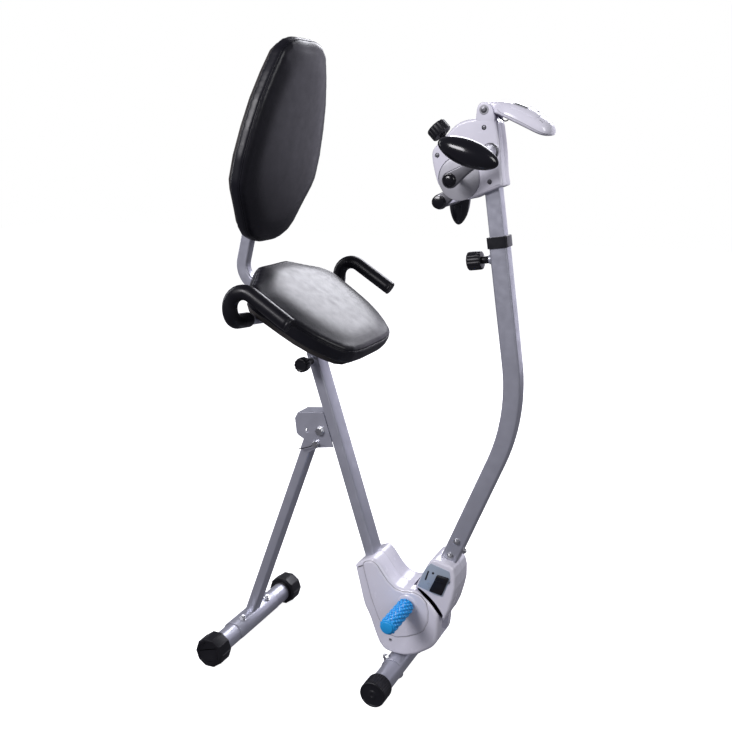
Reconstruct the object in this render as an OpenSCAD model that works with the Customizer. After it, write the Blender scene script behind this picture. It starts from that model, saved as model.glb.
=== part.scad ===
// Folding upper-body exercise bike, standing folded on its two floor tubes.
// +X points from the seat to the crank head, +Y to the user's left, +Z up.

/* [Feet] */
// Height of the front floor tube's axis, the radius of its roller caps
front_foot_z = 31; // [28:1:34]
// Height of the rear floor tube's axis, the radius of its levelling caps
rear_foot_z = 35; // [33:1:38]
// Distance between the front and rear floor tubes when folded
foot_spacing = 432; // [425:1:440]
// Diameter of both floor tubes
foot_d = 50; // [48:1:51]
// Half of the rear floor tube's length over its caps
rear_half = 202; // [190:1:210]
// Half of the front floor tube's length over its caps
front_half = 189; // [180:1:200]

/* [Main tube and leg] */
// Angle of the main tube from vertical, leaning back
main_lean = 17.5; // [17:0.1:18]
// Length of the main tube, from the front foot's axis
main_len = 775; // [760:1:790]
// Angle of the rear leg from vertical, leaning forward
leg_lean = 20.4; // [20:0.1:21]
// Depth of the main tube, front to back
main_d = 25; // [24:0.5:26]
// Width of the main tube
main_w = 50; // [48:0.5:52]
// Width of the leg tube
leg_w = 38; // [36:0.5:38]

/* [Mast] */
// Angle of the lower mast from vertical, leaning forward
mast_lean = 22.2; // [22:0.1:22.6]
// Angle of the upper mast from vertical, leaning back
mast_back = 8.2; // [8:0.1:8.4]
// Outer width of the square lower mast
mast_w = 38; // [37:0.5:39]
// Outer width of the square telescoping mast
inner_w = 32; // [31:0.5:33]
// Radius of the bend along its middle
bend_r = 440; // [420:5:460]

/* [Head] */
// Width of the head housing
head_w = 60; // [58:1:64]
// Crank length, axle to spindle
crank_len = 100; // [90:1:105]
// Distance of the grip centres from the middle plane
grip_y = 218; // [205:1:222]
// Length of a hand grip
grip_len = 126; // [110:1:130]
// Tilt of the console, nose down
console_tilt = 25; // [20:1:30]

/* [Seat] */
// Pitch of the seat when the bike is folded
seat_pitch = 32.4; // [32:0.1:33]
// Lean of the backrest from vertical when folded
back_lean = 14.5; // [14:0.1:15]
// Thickness of the seat cushion at its rim
seat_t = 42; // [38:1:44]
// Thickness of the back cushion at its rim
back_t = 34; // [30:1:36]
// Distance of the seat handles from the middle plane
handle_y = 260; // [255:1:262]
// Diameter of the foam on the seat handles
foam_d = 33; // [31:0.5:34]

/* [Hidden] */
$fn = 48;

// Feet, in the side plane
front_x = 77;
rear_x = front_x - foot_spacing;
wall = 1.5;
fit = 0.05;
cap_len = 45;
tube_r = foot_d / 2;
saddle_r = tube_r + 3;
saddle_bolt = 8;
front_saddle = 75;
front_bolt_y = 62;
front_bolt_lean = -42;
rear_saddle = 92;
rear_bolt_y = 60;
front_rib = 1;
cap_rise = 1;

// Fold pivot of the rear leg, its lock pin, and the pin's hole when the bike is open
pivot = [-133, 583];
lock_r = 35;
lock_at = -107;
open_turn = 68;
pivot_d = 12;
lock_d = 10;
bracket_in = 22.5;
leg_o = [rear_x - 6, rear_foot_z];
leg_deep = 25;

// Swing centre of the mast in the base, and the drum that its cover slides round
swing = [71, 118];
drum_r = 128;
cover_r = 131;
roller_at = [106, 199];
roller_d = 38;
roller_in = 60;
roller_out = 172;
roller_axle = 12;
swing_d = 10;
base_y = 52;
base_screws = [[3, 263], [63, 95]];
screw_d = 4;
shell_wall = 2.5;
cover_y = 45;

// Mast bend: the two straight lines meet here
bend_turn = mast_lean + mast_back;
bend_tan = bend_r * tan(bend_turn / 2);
mast_vertex = 690.8;
vertex = [front_x + mast_vertex * sin(mast_lean), front_foot_z + mast_vertex * cos(mast_lean)];
mast_start = 297;
mast_top = 372;
knob_at = 346;
mast_down = 35;
mast_up = 100;
mast_screw = 8;
stub_w = 34.6;
side_bolts_at = [317, 358];
front_bolt_at = 336;

// Crank axle and head
axle = [201, 1177];
axle_d = 12;
wheel_d = 70;
plate_y = 12.5;
bearing_d = 26;
head_h = head_w / 2;
tension_at = [156, 1262];
tension_turn = -43.2;
tension_d = 6;
arm_y = 82;
crank_angle = 34.5;
arm_t = 12;
spindle_d = 14;
console_hinge = [251, 1315];
console_pin = 6;

// Seat unit: local x runs forward along the seat, z stands off it
seat_o = [-125, 886];
back_o = [-240, 1150];
board_t = 12;
back_board_t = 10;
bar_deep = 28;
bar_w = 25;
bar_p = -76;
bar_bend = 50;
bar_top = 150;
handle_d = 25;
handle_cross = [-70, -67];
post_d = main_d - 2 * wall - 0.5;
post_w = main_w - 2 * wall - 0.5;
post_at = 758;
seat_up = 120;
clamp_d = 8;

steel = "silver";
black = [0.08, 0.08, 0.09];
white = [0.86, 0.86, 0.92];

// --- placing ---
module on_front_foot(lean) {
    translate([front_x, 0, front_foot_z]) rotate([0, lean, 0]) children();
}
module on_main() { on_front_foot(-main_lean) children(); }
module on_mast() { on_front_foot(mast_lean) children(); }
module on_leg() { translate([leg_o[0], 0, leg_o[1]]) rotate([0, leg_lean, 0]) children(); }
module on_upper() {
    translate([vertex[0], 0, vertex[1]]) rotate([0, -mast_back, 0]) children();
}
module on_seat() {
    translate([seat_o[0], 0, seat_o[1]]) rotate([0, seat_pitch, 0]) children();
}
// local z runs up the backrest's face, x out of it towards the user
module on_back() {
    translate([back_o[0], 0, back_o[1]]) rotate([0, back_lean, 0]) children();
}
module at(p) { translate([p[0], 0, p[1]]) children(); }
// a cylinder along Y from y0 to y1 at a point of the side plane
module rod(p, d, y0, y1) {
    translate([p[0], y1, p[1]]) rotate([90, 0, 0]) cylinder(d = d, h = y1 - y0);
}
// a flat outline in the side plane, from y0 to y1
module plate(y0, y1) {
    translate([0, y1, 0]) rotate([90, 0, 0]) linear_extrude(y1 - y0) children();
}
module both() {
    children();
    mirror([0, 1, 0]) children();
}
module box_tube(d, w, t, len) {
    difference() {
        translate([-d / 2, -w / 2, 0]) cube([d, w, len]);
        translate([-d / 2 + t, -w / 2 + t, -1]) cube([d - 2 * t, w - 2 * t, len + 2]);
    }
}
module washer(d, bore, t) {
    difference() {
        cylinder(d = d, h = t);
        translate([0, 0, -1]) cylinder(d = bore, h = t + 2);
    }
}
// hexagon head on top of z = 0 with a shank below
module bolt(d, len, head) {
    cylinder(d = head, h = 0.6 * d, $fn = 6);
    translate([0, 0, -len]) cylinder(d = d, h = len);
}
// a round knob along +Z with flutes, its shank hole below
module fluted(d, h, n) {
    difference() {
        cylinder(d = d, h = h);
        for (i = [0:n - 1])
            rotate(i * 360 / n) translate([d / 2 + 1.2, 0, -1]) cylinder(d = 5, h = h + 2, $fn = 16);
    }
}

// --- swept round tubes: rings of points along a route ---
function unit(v) = v / norm(v);
function bow(a, b, c, r, n) =
    let (u = unit(a - b), w = unit(c - b), turn = acos(u * w), t = r / tan(turn / 2),
         m = unit(u + w), o = b + m * (r / sin(turn / 2)), p = b + u * t, q = b + w * t)
    [for (i = [0:n]) let (k = i / n, s = sin((180 - turn) * (1 - k)), e = sin((180 - turn) * k))
        o + (s * (p - o) + e * (q - o)) / sin(180 - turn)];
function rounded(p, r, n) = concat([p[0]],
    [for (i = [1:len(p) - 2]) for (q = bow(p[i - 1], p[i], p[i + 1], r[i - 1], n)) q],
    [p[len(p) - 1]]);
function along(p, i) = unit(p[min(i + 1, len(p) - 1)] - p[max(i - 1, 0)]);
function turned(v, a, b) = let (w = cross(a, b), c = a * b)
    v + cross(w, v) + cross(w, cross(w, v)) / (1 + c);
function frames(p, i = 0, last = [0, 0, 1], tan0 = [1, 0, 0], out = []) =
    i == len(p) ? out :
    let (t = along(p, i), s = i == 0 ? unit(cross(t, abs(t[1]) > 0.9 ? [0, 0, 1] : [0, 1, 0]))
        : unit(turned(last, tan0, t)))
    frames(p, i + 1, s, t, concat(out, [[s, cross(t, s)]]));
module sweep(p, d, n) {
    f = frames(p);
    m = len(p);
    pts = [for (i = [0:m - 1]) for (k = [0:n - 1])
        p[i] + d / 2 * (cos(360 * k / n) * f[i][0] + sin(360 * k / n) * f[i][1])];
    sides = [for (i = [0:m - 2]) for (k = [0:n - 1]) let (j = (k + 1) % n)
        each [[i * n + k, (i + 1) * n + j, i * n + j], [i * n + k, (i + 1) * n + k, (i + 1) * n + j]]];
    polyhedron(concat(pts, [p[0], p[m - 1]]), concat(sides,
        [for (k = [0:n - 1]) [m * n, k, (k + 1) % n]],
        [for (k = [0:n - 1]) [m * n + 1, (m - 1) * n + (k + 1) % n, (m - 1) * n + k]]));
}

// --- outlines and places in the side plane ---
function polar(p, r, a) = p + r * [cos(a), sin(a)];
// a point of the side plane seen from a frame at o that leans forward by a
function seen(p, o, a) = let (d = p - o)
    [d[0] * cos(a) - d[1] * sin(a), d[0] * sin(a) + d[1] * cos(a)];
// the reverse: from that frame back to the side plane
function placed(q, o, a) = o + [q[0] * cos(a) + q[1] * sin(a), q[1] * cos(a) - q[0] * sin(a)];
// distance from p along the direction at angle a to the line through q at angle b
function reach(p, a, q, b) = let (d = q - p) (d[0] * sin(b) - d[1] * cos(b)) / sin(b - a);
foot_o = [front_x, front_foot_z];
function rear_face(z) = front_x - main_d / 2 / cos(main_lean) - (z - front_foot_z) * tan(main_lean);
function front_face(z) = rear_face(z) + main_d / cos(main_lean);
lock_hole = polar(pivot, lock_r, lock_at);
open_hole = polar(pivot, lock_r, lock_at - open_turn);

module link(p, r, q, s) {
    hull() {
        translate(p) circle(r, $fn = 32);
        translate(q) circle(s, $fn = 32);
    }
}
// bolt along Y: hexagon head below y0, plain shank to y1 + 8, loose nut above y1
module cross_bolt(p, d, y0, y1) {
    rod(p, d, y0, y1 + 0.8 * d);
    translate([p[0], y0, p[1]]) rotate([90, 0, 0]) cylinder(d = 1.8 * d, h = 0.6 * d, $fn = 6);
    translate([p[0], y1, p[1]]) rotate([-90, 0, 0]) difference() {
        cylinder(d = 1.8 * d, h = 0.6 * d, $fn = 6);
        translate([0, 0, -1]) cylinder(d = d + 2 * fit, h = d);
    }
}
// countersunk screw along Y, its head flush with y0, on the -Y side
module side_screw(p, y0, y1) {
    rod(p, screw_d, y0, y1);
    rod(p, 7.6, y0, y0 + 2);
}
module side_boss(p, y0, y1) { rod(p, 9, y0, y1); }
module side_bore(p, y0, y1) {
    rod(p, screw_d + 2 * fit, y0 - 1, y1 + 1);
    rod(p, 7.8, y0 - 1, y0 + 2);
}

// --- feet ---
module saddle(half, lean, bolt_y) {
    rotate([0, lean, 0]) difference() {
        rod([0, 0], 2 * saddle_r, -half, half);
        rod([0, 0], foot_d, -half - 1, half + 1);
        translate([-50, -half - 1, -50]) cube([100, 2 * half + 2, 50]);
        both() translate([0, bolt_y, 0]) cylinder(d = saddle_bolt + 0.2, h = 60);
    }
}
// two carriage bolts through saddle and tube, a hexagon nut on each
module saddle_bolts(lean, bolt_y) {
    rotate([0, lean, 0]) both() translate([0, bolt_y, 0]) {
        translate([0, 0, -tube_r - 2]) cylinder(d = saddle_bolt, h = tube_r + saddle_r + 11);
        translate([0, 0, -tube_r - 4]) cylinder(d = 18, h = 4);
        difference() {
            translate([0, 0, saddle_r]) cylinder(d = 15, h = 7, $fn = 6);
            translate([0, 0, saddle_r - 1]) cylinder(d = saddle_bolt + 2 * fit, h = 9);
        }
    }
}
module saddle_drill(lean, bolt_y) {
    rotate([0, lean, 0]) both() translate([0, bolt_y, -50]) cylinder(d = saddle_bolt + 0.2, h = 100);
}
module floor_tube(half) {
    difference() {
        rod([0, 0], foot_d, -half, half);
        rod([0, 0], foot_d - 4, -half - 1, half + 1);
    }
}
module front_foot_tube() {
    end = front_half - cap_len - 0.3;
    color(steel) at(foot_o) {
        difference() {
            floor_tube(end);
            saddle_drill(front_bolt_lean, front_bolt_y);
        }
        both() rod([0, 0], foot_d - 3, end - 10, end - 1);
        both() rod([0, 0], 12, end - 2, front_half - 6);
    }
}
module front_wheel_cap() {
    ribs = 36;
    r = front_foot_z;
    y0 = front_half - cap_len;
    color(black) at(foot_o) difference() {
        plate(y0, front_half)
            polygon([for (i = [0:2 * ribs - 1]) polar([0, 0], r - (i % 2) * front_rib, i * 180 / ribs)]);
        rod([0, 0], 12 + 2 * fit, y0 - 1, front_half - 5);
        difference() {
            rod([0, 0], 2 * r - 8, y0 - 1, front_half - 8);
            rod([0, 0], 26, y0 - 2, front_half);
        }
    }
}
module front_wheel_cap_left() { front_wheel_cap(); }
module front_wheel_cap_right() { mirror([0, 1, 0]) front_wheel_cap(); }
module rear_foot_tube() {
    color(steel) at([rear_x, rear_foot_z]) difference() {
        floor_tube(rear_half - 7);
        saddle_drill(leg_lean, rear_bolt_y);
    }
}
// ten-sided cap, its bore a little off centre so that turning it levels the bike
module rear_cap() {
    y0 = rear_half - cap_len;
    flat_r = rear_foot_z + cap_rise;
    color(black) at([rear_x, rear_foot_z]) difference() {
        union() {
            translate([0, rear_half, cap_rise]) rotate([90, 0, 0])
                cylinder(r = flat_r / cos(18), h = cap_len, $fn = 10);
            rod([0, 0], foot_d + 6, y0 - 6, y0 - 3);
            rod([0, 0], foot_d + 4, y0 - 6, y0 + 1);
        }
        rod([0, 0], foot_d + 2 * fit, y0 - 8, rear_half - 5);
    }
}
module rear_cap_left() { rear_cap(); }
module rear_cap_right() { mirror([0, 1, 0]) rear_cap(); }

// --- main tube and fold bracket ---
module main_tube() {
    color(steel) difference() {
        union() {
            on_main() translate([-main_d / 2, -main_w / 2, 15]) cube([main_d, main_w, main_len - 15]);
            at(foot_o) saddle(front_saddle, front_bolt_lean, front_bolt_y);
            on_main() translate([0, -main_w / 2, post_at]) rotate([90, 0, 0]) cylinder(d = 20, h = 8);
        }
        on_main() translate([-main_d / 2 + wall, -main_w / 2 + wall, 0])
            cube([main_d - 2 * wall, main_w - 2 * wall, main_len + 1]);
        rod(foot_o, foot_d, -60, 60);
        on_main() translate([0, 0, post_at]) rotate([90, 0, 0])
            cylinder(d = clamp_d + 2 * fit, h = 60);
        for (p = base_screws) rod(p, screw_d + 2 * fit, -30, 30);
    }
}
bracket_side = [[-201, 607], [-193, 622], [rear_face(630), 630], [rear_face(547), 547],
    [-141, 540], [-177, 557], [-192, 565], [-197, 570]];
bracket_top = [[-193, 622], [rear_face(630), 630], [rear_face(627), 627], [-193, 619]];
module fold_bracket() {
    color(steel) difference() {
        union() {
            both() plate(bracket_in, bracket_in + 3) polygon(bracket_side);
            plate(-bracket_in, bracket_in) polygon(bracket_top);
        }
        rod(pivot, pivot_d + 2 * fit, -40, 40);
        rod(lock_hole, lock_d + 2 * fit, -40, 40);
        rod(open_hole, lock_d + 2 * fit, -40, 40);
    }
}
module pivot_bolts() {
    color("lightgray") {
        cross_bolt(pivot, pivot_d, -bracket_in - 3, bracket_in + 3);
        cross_bolt(swing, swing_d, -main_w / 2 - 3, main_w / 2 + 3);
    }
}

// --- base ---
module base_bracket() {
    y0 = main_w / 2;
    color(steel) difference() {
        both() plate(y0, y0 + 3) hull() {
            polygon([[rear_face(80), 80], [front_face(80), 80], [front_face(185), 185],
                [rear_face(185), 185]]);
            translate(swing) circle(14, $fn = 32);
            translate(roller_at) circle(12, $fn = 32);
        }
        rod(swing, swing_d + 2 * fit, -40, 40);
        rod(roller_at, roller_axle + 2 * fit, -40, 40);
        for (p = base_screws) rod(p, screw_d + 2 * fit, -40, 40);
    }
}
drum_from = 28;
drum_to = 68;
base_outline = concat(
    [[-31, 270], [-30, 265], [-18, 215], [-8, 173], [7, 145], [21, 106], [32, 76], [48, 53],
     [107, 48], [138, 56], [152, 66], [166, 82], [176, 100], [181, 122], [184, 148]],
    [for (a = [drum_from:4:drum_to]) polar(swing, drum_r, a)],
    [[108, 237], [92, 233], [74, 237], [58, 250], [46, 265], [35, 280], [25, 291], [15, 297], [-15, 284]]);
// one half of the moulded base: open where the main tube, floor tube and mast bracket pass
module base_shell() {
    color(white) difference() {
        union() {
            difference() {
                plate(0, base_y) polygon(base_outline);
                plate(-1, base_y - shell_wall) offset(delta = -shell_wall) polygon(base_outline);
            }
            side_boss(base_screws[0], main_w / 2 + 0.2, base_y - 1);
            side_boss(base_screws[1], main_w / 2 + 3.2, base_y - 1);
        }
        mirror([0, 1, 0]) for (p = base_screws) side_bore(p, -base_y, 0);
        on_main() translate([-main_d / 2 - 0.3, -1, 0])
            cube([main_d + 0.6, main_w / 2 + 1.3, main_len]);
        rod(foot_o, 2 * saddle_r + 3, -1, base_y + 1);
        rod(roller_at, 20.6, -1, base_y + 1);
        at(swing) plate(-1, 24) polygon([[60, -2], [190, -12], [190, 60], polar([0, 0], 190, 72),
            polar([0, 0], 100, 72), [70, 50]]);
    }
}
module base_shell_left() { base_shell(); }
module base_shell_right() { mirror([0, 1, 0]) base_shell(); }
module base_fasteners() {
    color("lightgray") {
        both() for (i = [0, 1]) side_screw(base_screws[i], -base_y, -main_w / 2 + 2);
        at(foot_o) saddle_bolts(front_bolt_lean, front_bolt_y);
    }
}
module foot_roller_axle() {
    color("lightgray") {
        rod(roller_at, roller_axle, -roller_out - 3, roller_out + 3);
        both() rod(roller_at, 18, roller_out + 0.5, roller_out + 4);
        both() rod(roller_at, 20, main_w / 2 + 3, roller_in - 0.4);
    }
}
module foot_roller() {
    color([0.12, 0.55, 0.86]) difference() {
        rod(roller_at, roller_d, roller_in, roller_out);
        rod(roller_at, roller_axle + 2 * fit, roller_in - 1, roller_out + 1);
    }
}
module foot_roller_left() { foot_roller(); }
module foot_roller_right() { mirror([0, 1, 0]) foot_roller(); }

// --- rear leg ---
leg_top = seen(pivot, leg_o, leg_lean)[1] + 4;
module leg_tube() {
    color(steel) difference() {
        union() {
            on_leg() box_tube(leg_deep, leg_w, wall, leg_top);
            at([rear_x, rear_foot_z]) saddle(rear_saddle, leg_lean, rear_bolt_y);
        }
        rod([rear_x, rear_foot_z], foot_d, -60, 60);
        translate([rear_x - 60, -30, -30]) cube([120, 60, rear_foot_z + 30]);
    }
}
// plates welded on the leg's sides; the pin's hole runs out to the front edge as the leg turns
module leg_head() {
    color(steel) difference() {
        both() plate(leg_w / 2, leg_w / 2 + 3) hull() {
            translate(pivot) circle(16, $fn = 32);
            translate(lock_hole) circle(10, $fn = 32);
            for (q = [[-11, leg_top - 70], [11, leg_top - 70], [-11, leg_top - 2]])
                translate(placed(q, leg_o, leg_lean)) circle(1, $fn = 16);
        }
        rod(pivot, pivot_d + 2 * fit, -40, 40);
        rod(lock_hole, lock_d + 0.8, -40, 40);
        at(pivot) rotate([90, 0, 0]) rotate(lock_at) rotate_extrude(angle = 60)
            translate([lock_r - lock_d / 2 - 0.4, -40]) square([lock_d + 0.8, 80]);
    }
}
module leg_fasteners() {
    color("lightgray") at([rear_x, rear_foot_z]) saddle_bolts(leg_lean, rear_bolt_y);
}
module lock_pin() {
    color("lightgray") {
        rod(lock_hole, lock_d, -32, 30);
        rod(lock_hole, 17, -34, -bracket_in - 3.3);
    }
}
pull_wire = [[-150, -31, 547], [-160, -32, 542], [-170, -32, 538], [-180, -32, 535], [-188, -31, 534]];
module pin_pull_wire() {
    color("silver") sweep(pull_wire, 2.4, 8);
}

// --- mast ---
// side outline of a bent tube: width w, from s = low on the lower line to high on the upper one
bend_at = placed([-bend_r, mast_vertex - bend_tan], foot_o, mast_lean);
bend_steps = 16;
function bend_side(r) = [for (i = [0:bend_steps])
    polar(bend_at, r, -mast_lean + bend_turn * i / bend_steps)];
function reversed(p) = [for (i = [len(p) - 1:-1:0]) p[i]];
function mast_strip(w, low, high) = concat(
    [placed([-w / 2, low], foot_o, mast_lean)], bend_side(bend_r - w / 2),
    [placed([-w / 2, high], vertex, -mast_back), placed([w / 2, high], vertex, -mast_back)],
    reversed(bend_side(bend_r + w / 2)), [placed([w / 2, low], foot_o, mast_lean)]);
module mast_tube() {
    inside = mast_w - 2 * wall;
    color(steel) difference() {
        union() {
            plate(-mast_w / 2, mast_w / 2) polygon(mast_strip(mast_w, mast_start, mast_top));
            on_upper() translate([-mast_w / 2 - 7, 0, knob_at]) rotate([0, 90, 0]) cylinder(d = 20, h = 7.5);
        }
        plate(-inside / 2, inside / 2) polygon(mast_strip(inside, mast_start - 1, mast_top + 1));
        on_upper() translate([-mast_w, 0, knob_at]) rotate([0, 90, 0])
            cylinder(d = clamp_d + 2 * fit, h = mast_w - 10);
        on_mast() for (s = side_bolts_at) rod([0, s], mast_screw + 2 * fit, -30, 30);
        on_mast() translate([0, 0, front_bolt_at]) rotate([0, 90, 0])
            cylinder(d = mast_screw + 2 * fit, h = 40);
    }
}
// stub inside the mast's lower end, on two arms that swing on the base's bolt
module mast_foot_bracket() {
    y1 = stub_w / 2;
    arm_end = placed([6, 248], foot_o, mast_lean);
    color(steel) difference() {
        union() {
            on_mast() translate([0, 0, 230]) box_tube(stub_w, stub_w, 3, 140);
            both() plate(y1 - 3.3, y1) link(swing, 7.5, arm_end, 10);
        }
        rod(swing, swing_d + 2 * fit, -40, 40);
        on_mast() for (s = side_bolts_at) rod([0, s], mast_screw + 2 * fit, -30, 30);
        on_mast() translate([0, 0, front_bolt_at]) rotate([0, 90, 0])
            cylinder(d = mast_screw + 2 * fit, h = 40);
    }
}
module mast_fasteners() {
    color("lightgray") on_mast() {
        for (s = side_bolts_at) cross_bolt([0, s], mast_screw, -mast_w / 2, mast_w / 2);
        translate([mast_w / 2, 0, front_bolt_at]) rotate([0, 90, 0]) bolt(mast_screw, 14, 14);
        for (p = cover_bosses) side_screw(p, -cover_y, cover_y - 4);
    }
}
cover_bosses = [[26, 270], [-25, 262]];
cover_outline = concat(
    [for (a = [24:4:68]) polar(swing, cover_r, a)],
    [[122, 244], [141, 285], [150, 303], [158, 316], [168, 320], [205, 312], [214, 304],
     [219, 285], [219, 255], [214, 230], [206, 200], [195, 174]]);
latch_at = [-6, 240];
latch_run = 12;
module mast_cover() {
    color(white) difference() {
        union() {
            difference() {
                plate(0, cover_y) polygon(cover_outline);
                plate(-1, cover_y - shell_wall) offset(delta = -shell_wall) polygon(cover_outline);
            }
            on_mast() for (p = cover_bosses) side_boss(p, 0, cover_y - 1);
        }
        rod(swing, 2 * cover_r + 6, -1, cover_y - shell_wall);
        on_mast() mirror([0, 1, 0]) for (p = cover_bosses) side_bore(p, -cover_y, 0);
        on_mast() translate([-mast_w / 2 - 0.3, -1, 225])
            cube([mast_w + 0.6, mast_w / 2 + 1.3, 150]);
    }
}
module mast_cover_left() { mast_cover(); }
module mast_cover_right() {
    difference() {
        mirror([0, 1, 0]) mast_cover();
        color(white) on_mast() plate(-cover_y - 1, -cover_y + 3) hull() {
            translate(latch_at) circle(4.3, $fn = 32);
            translate(latch_at + [0, latch_run]) circle(4.3, $fn = 32);
        }
    }
}
module latch_slider() {
    color(black) {
        plate(-cover_y - 4, -cover_y - 0.3)
            polygon([[180, 288], [207, 281], [192, 245], [178, 231], [156, 244]]);
        on_mast() rod(latch_at, 8, -cover_y - 1, -cover_y + 4);
        on_mast() rod(latch_at, 12, -cover_y + shell_wall + 0.3, -cover_y + 5);
    }
}
module mast_sleeve() {
    color(black) on_upper() difference() {
        union() {
            translate([-22, -22, mast_top - 3]) cube([44, 44, 24]);
            translate([-mast_w / 2 + wall + 0.1, -mast_w / 2 + wall + 0.1, mast_top - 16])
                cube([mast_w - 2 * wall - 0.2, mast_w - 2 * wall - 0.2, 16]);
        }
        translate([-inner_w / 2 - 0.1, -inner_w / 2 - 0.1, mast_top - 20])
            cube([inner_w + 0.2, inner_w + 0.2, 60]);
        translate([0, 0, mast_top - 4]) difference() {
            translate([-mast_w / 2, -mast_w / 2, 0]) cube([mast_w, mast_w, 4]);
            translate([-mast_w / 2 + wall, -mast_w / 2 + wall, -1])
                cube([mast_w - 2 * wall, mast_w - 2 * wall, 6]);
        }
    }
}
// clamp knob: its screw's tip runs in a slot of the inner tube
module clamp_knob(grip, high, stem, tip) {
    fluted(grip, high, 12);
    translate([0, 0, -stem]) cylinder(d = 16, h = stem);
    translate([0, 0, -tip]) cylinder(d = clamp_d, h = tip);
}
module mast_knob() {
    color(black) on_upper() translate([-42, 0, knob_at]) rotate([0, -90, 0])
        clamp_knob(40, 31, 42 - mast_w / 2 - 7.3, 42 - inner_w / 2 + 1.2);
}
module clamp_slot(low, high) {
    hull() {
        translate([0, low]) circle(clamp_d / 2 + 0.3, $fn = 32);
        translate([0, high]) circle(clamp_d / 2 + 0.3, $fn = 32);
    }
}

// --- head ---
axle_local = seen(axle, vertex, -mast_back);
// side outline of the inner tube: width w, from low to high above the bend
function inner_strip(w, low, high) = [for (q = [[-w / 2, low], [-w / 2, high], [w / 2, high], [w / 2, low]])
    placed(q, vertex, -mast_back)];
carrier = [for (q = [[-inner_w / 2 + 1, axle_local[1] - 20], [-inner_w / 2 + 1, axle_local[1] + 45],
    axle_local + [0, 12], axle_local + [0, -12]]) placed(q, vertex, -mast_back)];
module upper_mast_tube() {
    top = 625;
    low = 165;
    cup = 26;
    color(steel) difference() {
        union() {
            plate(-inner_w / 2, inner_w / 2) polygon(inner_strip(inner_w, low, top));
            both() plate(plate_y, plate_y + 3) polygon(carrier);
            both() rod(axle, bearing_d + 8, plate_y + 1, cup);
        }
        plate(-inner_w / 2 + 2, inner_w / 2 - 2) polygon(inner_strip(inner_w - 4, low - 1, top + 1));
        both() rod(axle, bearing_d, cup - 9, cup + 1);
        rod(axle, axle_d + 3, -30, 30);
        on_upper() translate([-inner_w / 2 + 3, 0, 0]) rotate([0, -90, 0]) linear_extrude(5)
            rotate(-90) clamp_slot(knob_at - mast_up, knob_at + mast_down);
        for (p = [for (p = head_screws) if (p[0] > 200) p]) rod(p, screw_d + 2 * fit, -30, 30);
    }
}
module crank_bearings() {
    color("gray") both() difference() {
        rod(axle, bearing_d, 17, 26);
        rod(axle, axle_d + 2 * fit, 16, 27);
    }
}
head_outline = [[276, 1304], [236, 1299], [211, 1295], [196, 1289], [183, 1279], [173, 1267],
    [160, 1255], [149, 1245], [141, 1235], [139, 1225], [141, 1210], [146, 1188], [153, 1167],
    [162, 1153], [173, 1142], [187, 1135], [204, 1134], [226, 1135], [248, 1145], [289, 1162],
    [296, 1165], [291, 1186], [287, 1236]];
head_screws = [[252, 1280], [267, 1172]];
head_boss = [152, 1224];
ear_in = 23;
module head_shell() {
    color(white) difference() {
        union() {
            difference() {
                plate(0, head_h) polygon(head_outline);
                plate(-1, head_h - shell_wall) offset(delta = -shell_wall) polygon(head_outline);
            }
            for (p = head_screws) side_boss(p, inner_w / 2 + 0.2, head_h - 1);
            side_boss(head_boss, 0, head_h - 1);
            plate(ear_in, head_h) hull() {
                translate(console_hinge) circle(15.5, $fn = 32);
                polygon([[234, 1297], [272, 1297], [272, 1300], [234, 1297.5]]);
            }
        }
        mirror([0, 1, 0]) for (p = concat(head_screws, [head_boss])) side_bore(p, -head_h, 0);
        rod(axle, axle_d + 4, -1, head_h + 1);
        rod(console_hinge, console_pin + 2 * fit, -1, head_h + 1);
        on_upper() translate([-inner_w / 2 - 0.3, -1, 300])
            cube([inner_w + 0.6, inner_w / 2 + 1.3, 320]);
        at(tension_at) rotate([0, tension_turn, 0]) translate([0, 0, -20]) cylinder(d = 9, h = 40);
    }
}
module head_shell_left() { head_shell(); }
module head_shell_right() { mirror([0, 1, 0]) head_shell(); }
module head_fasteners() {
    color("lightgray") {
        both() for (p = head_screws) side_screw(p, -head_h, -inner_w / 2 + 3);
        side_screw(head_boss, -head_h, head_h - 4);
        rod(console_hinge, console_pin, -head_h, head_h);
        both() rod(console_hinge, 14, head_h, head_h + 2.5);
    }
}
// felt-lined steel band round the wheel, its tab holding the nut of the tension screw
nut_depth = 52;
nut_at = placed([0, -nut_depth], tension_at, tension_turn);
module brake_band() {
    r = wheel_d / 2;
    color("dimgray") difference() {
        union() {
            difference() {
                union() {
                    rod(axle, wheel_d + 5, -5, 5);
                    plate(-5, 5) polygon([nut_at + [-5, 0], nut_at + [5, 0], axle + [8, r], axle + [-18, r - 6]]);
                }
                rod(axle, wheel_d + 0.6, -6, 6);
                at(axle) plate(-6, 6) polygon([[0, 0], [80, -12], [80, 12]]);
            }
            at(nut_at) rotate([0, tension_turn, 0]) translate([0, 0, -6]) cylinder(d = 14, h = 12);
        }
        at(nut_at) rotate([0, tension_turn, 0]) translate([0, 0, -20])
            cylinder(d = tension_d + 2 * fit, h = 40);
    }
}
module tension_knob() {
    color(black) at(tension_at) rotate([0, tension_turn, 0]) {
        translate([0, 0, 6]) fluted(45, 24, 12);
        translate([0, 0, -nut_depth - 8]) cylinder(d = tension_d, h = nut_depth + 20);
    }
}

// --- crank and hand grips ---
spindle_right = polar(axle, crank_len, crank_angle);
spindle_left = polar(axle, crank_len, crank_angle + 180);
arm_in = arm_y - arm_t / 2;
arm_out = arm_y + arm_t / 2;
module crank_axle() {
    color("lightgray") rod(axle, axle_d, -arm_out, arm_out);
}
module crank_wheel() {
    color("gray") difference() {
        union() {
            rod(axle, wheel_d, -5, 5);
            rod(axle, 24, -plate_y + 1, plate_y - 1);
        }
        rod(axle, axle_d, -30, 30);
        for (a = [0:60:300]) rod(polar(axle, 23, a), 12, -10, 10);
    }
}
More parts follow.
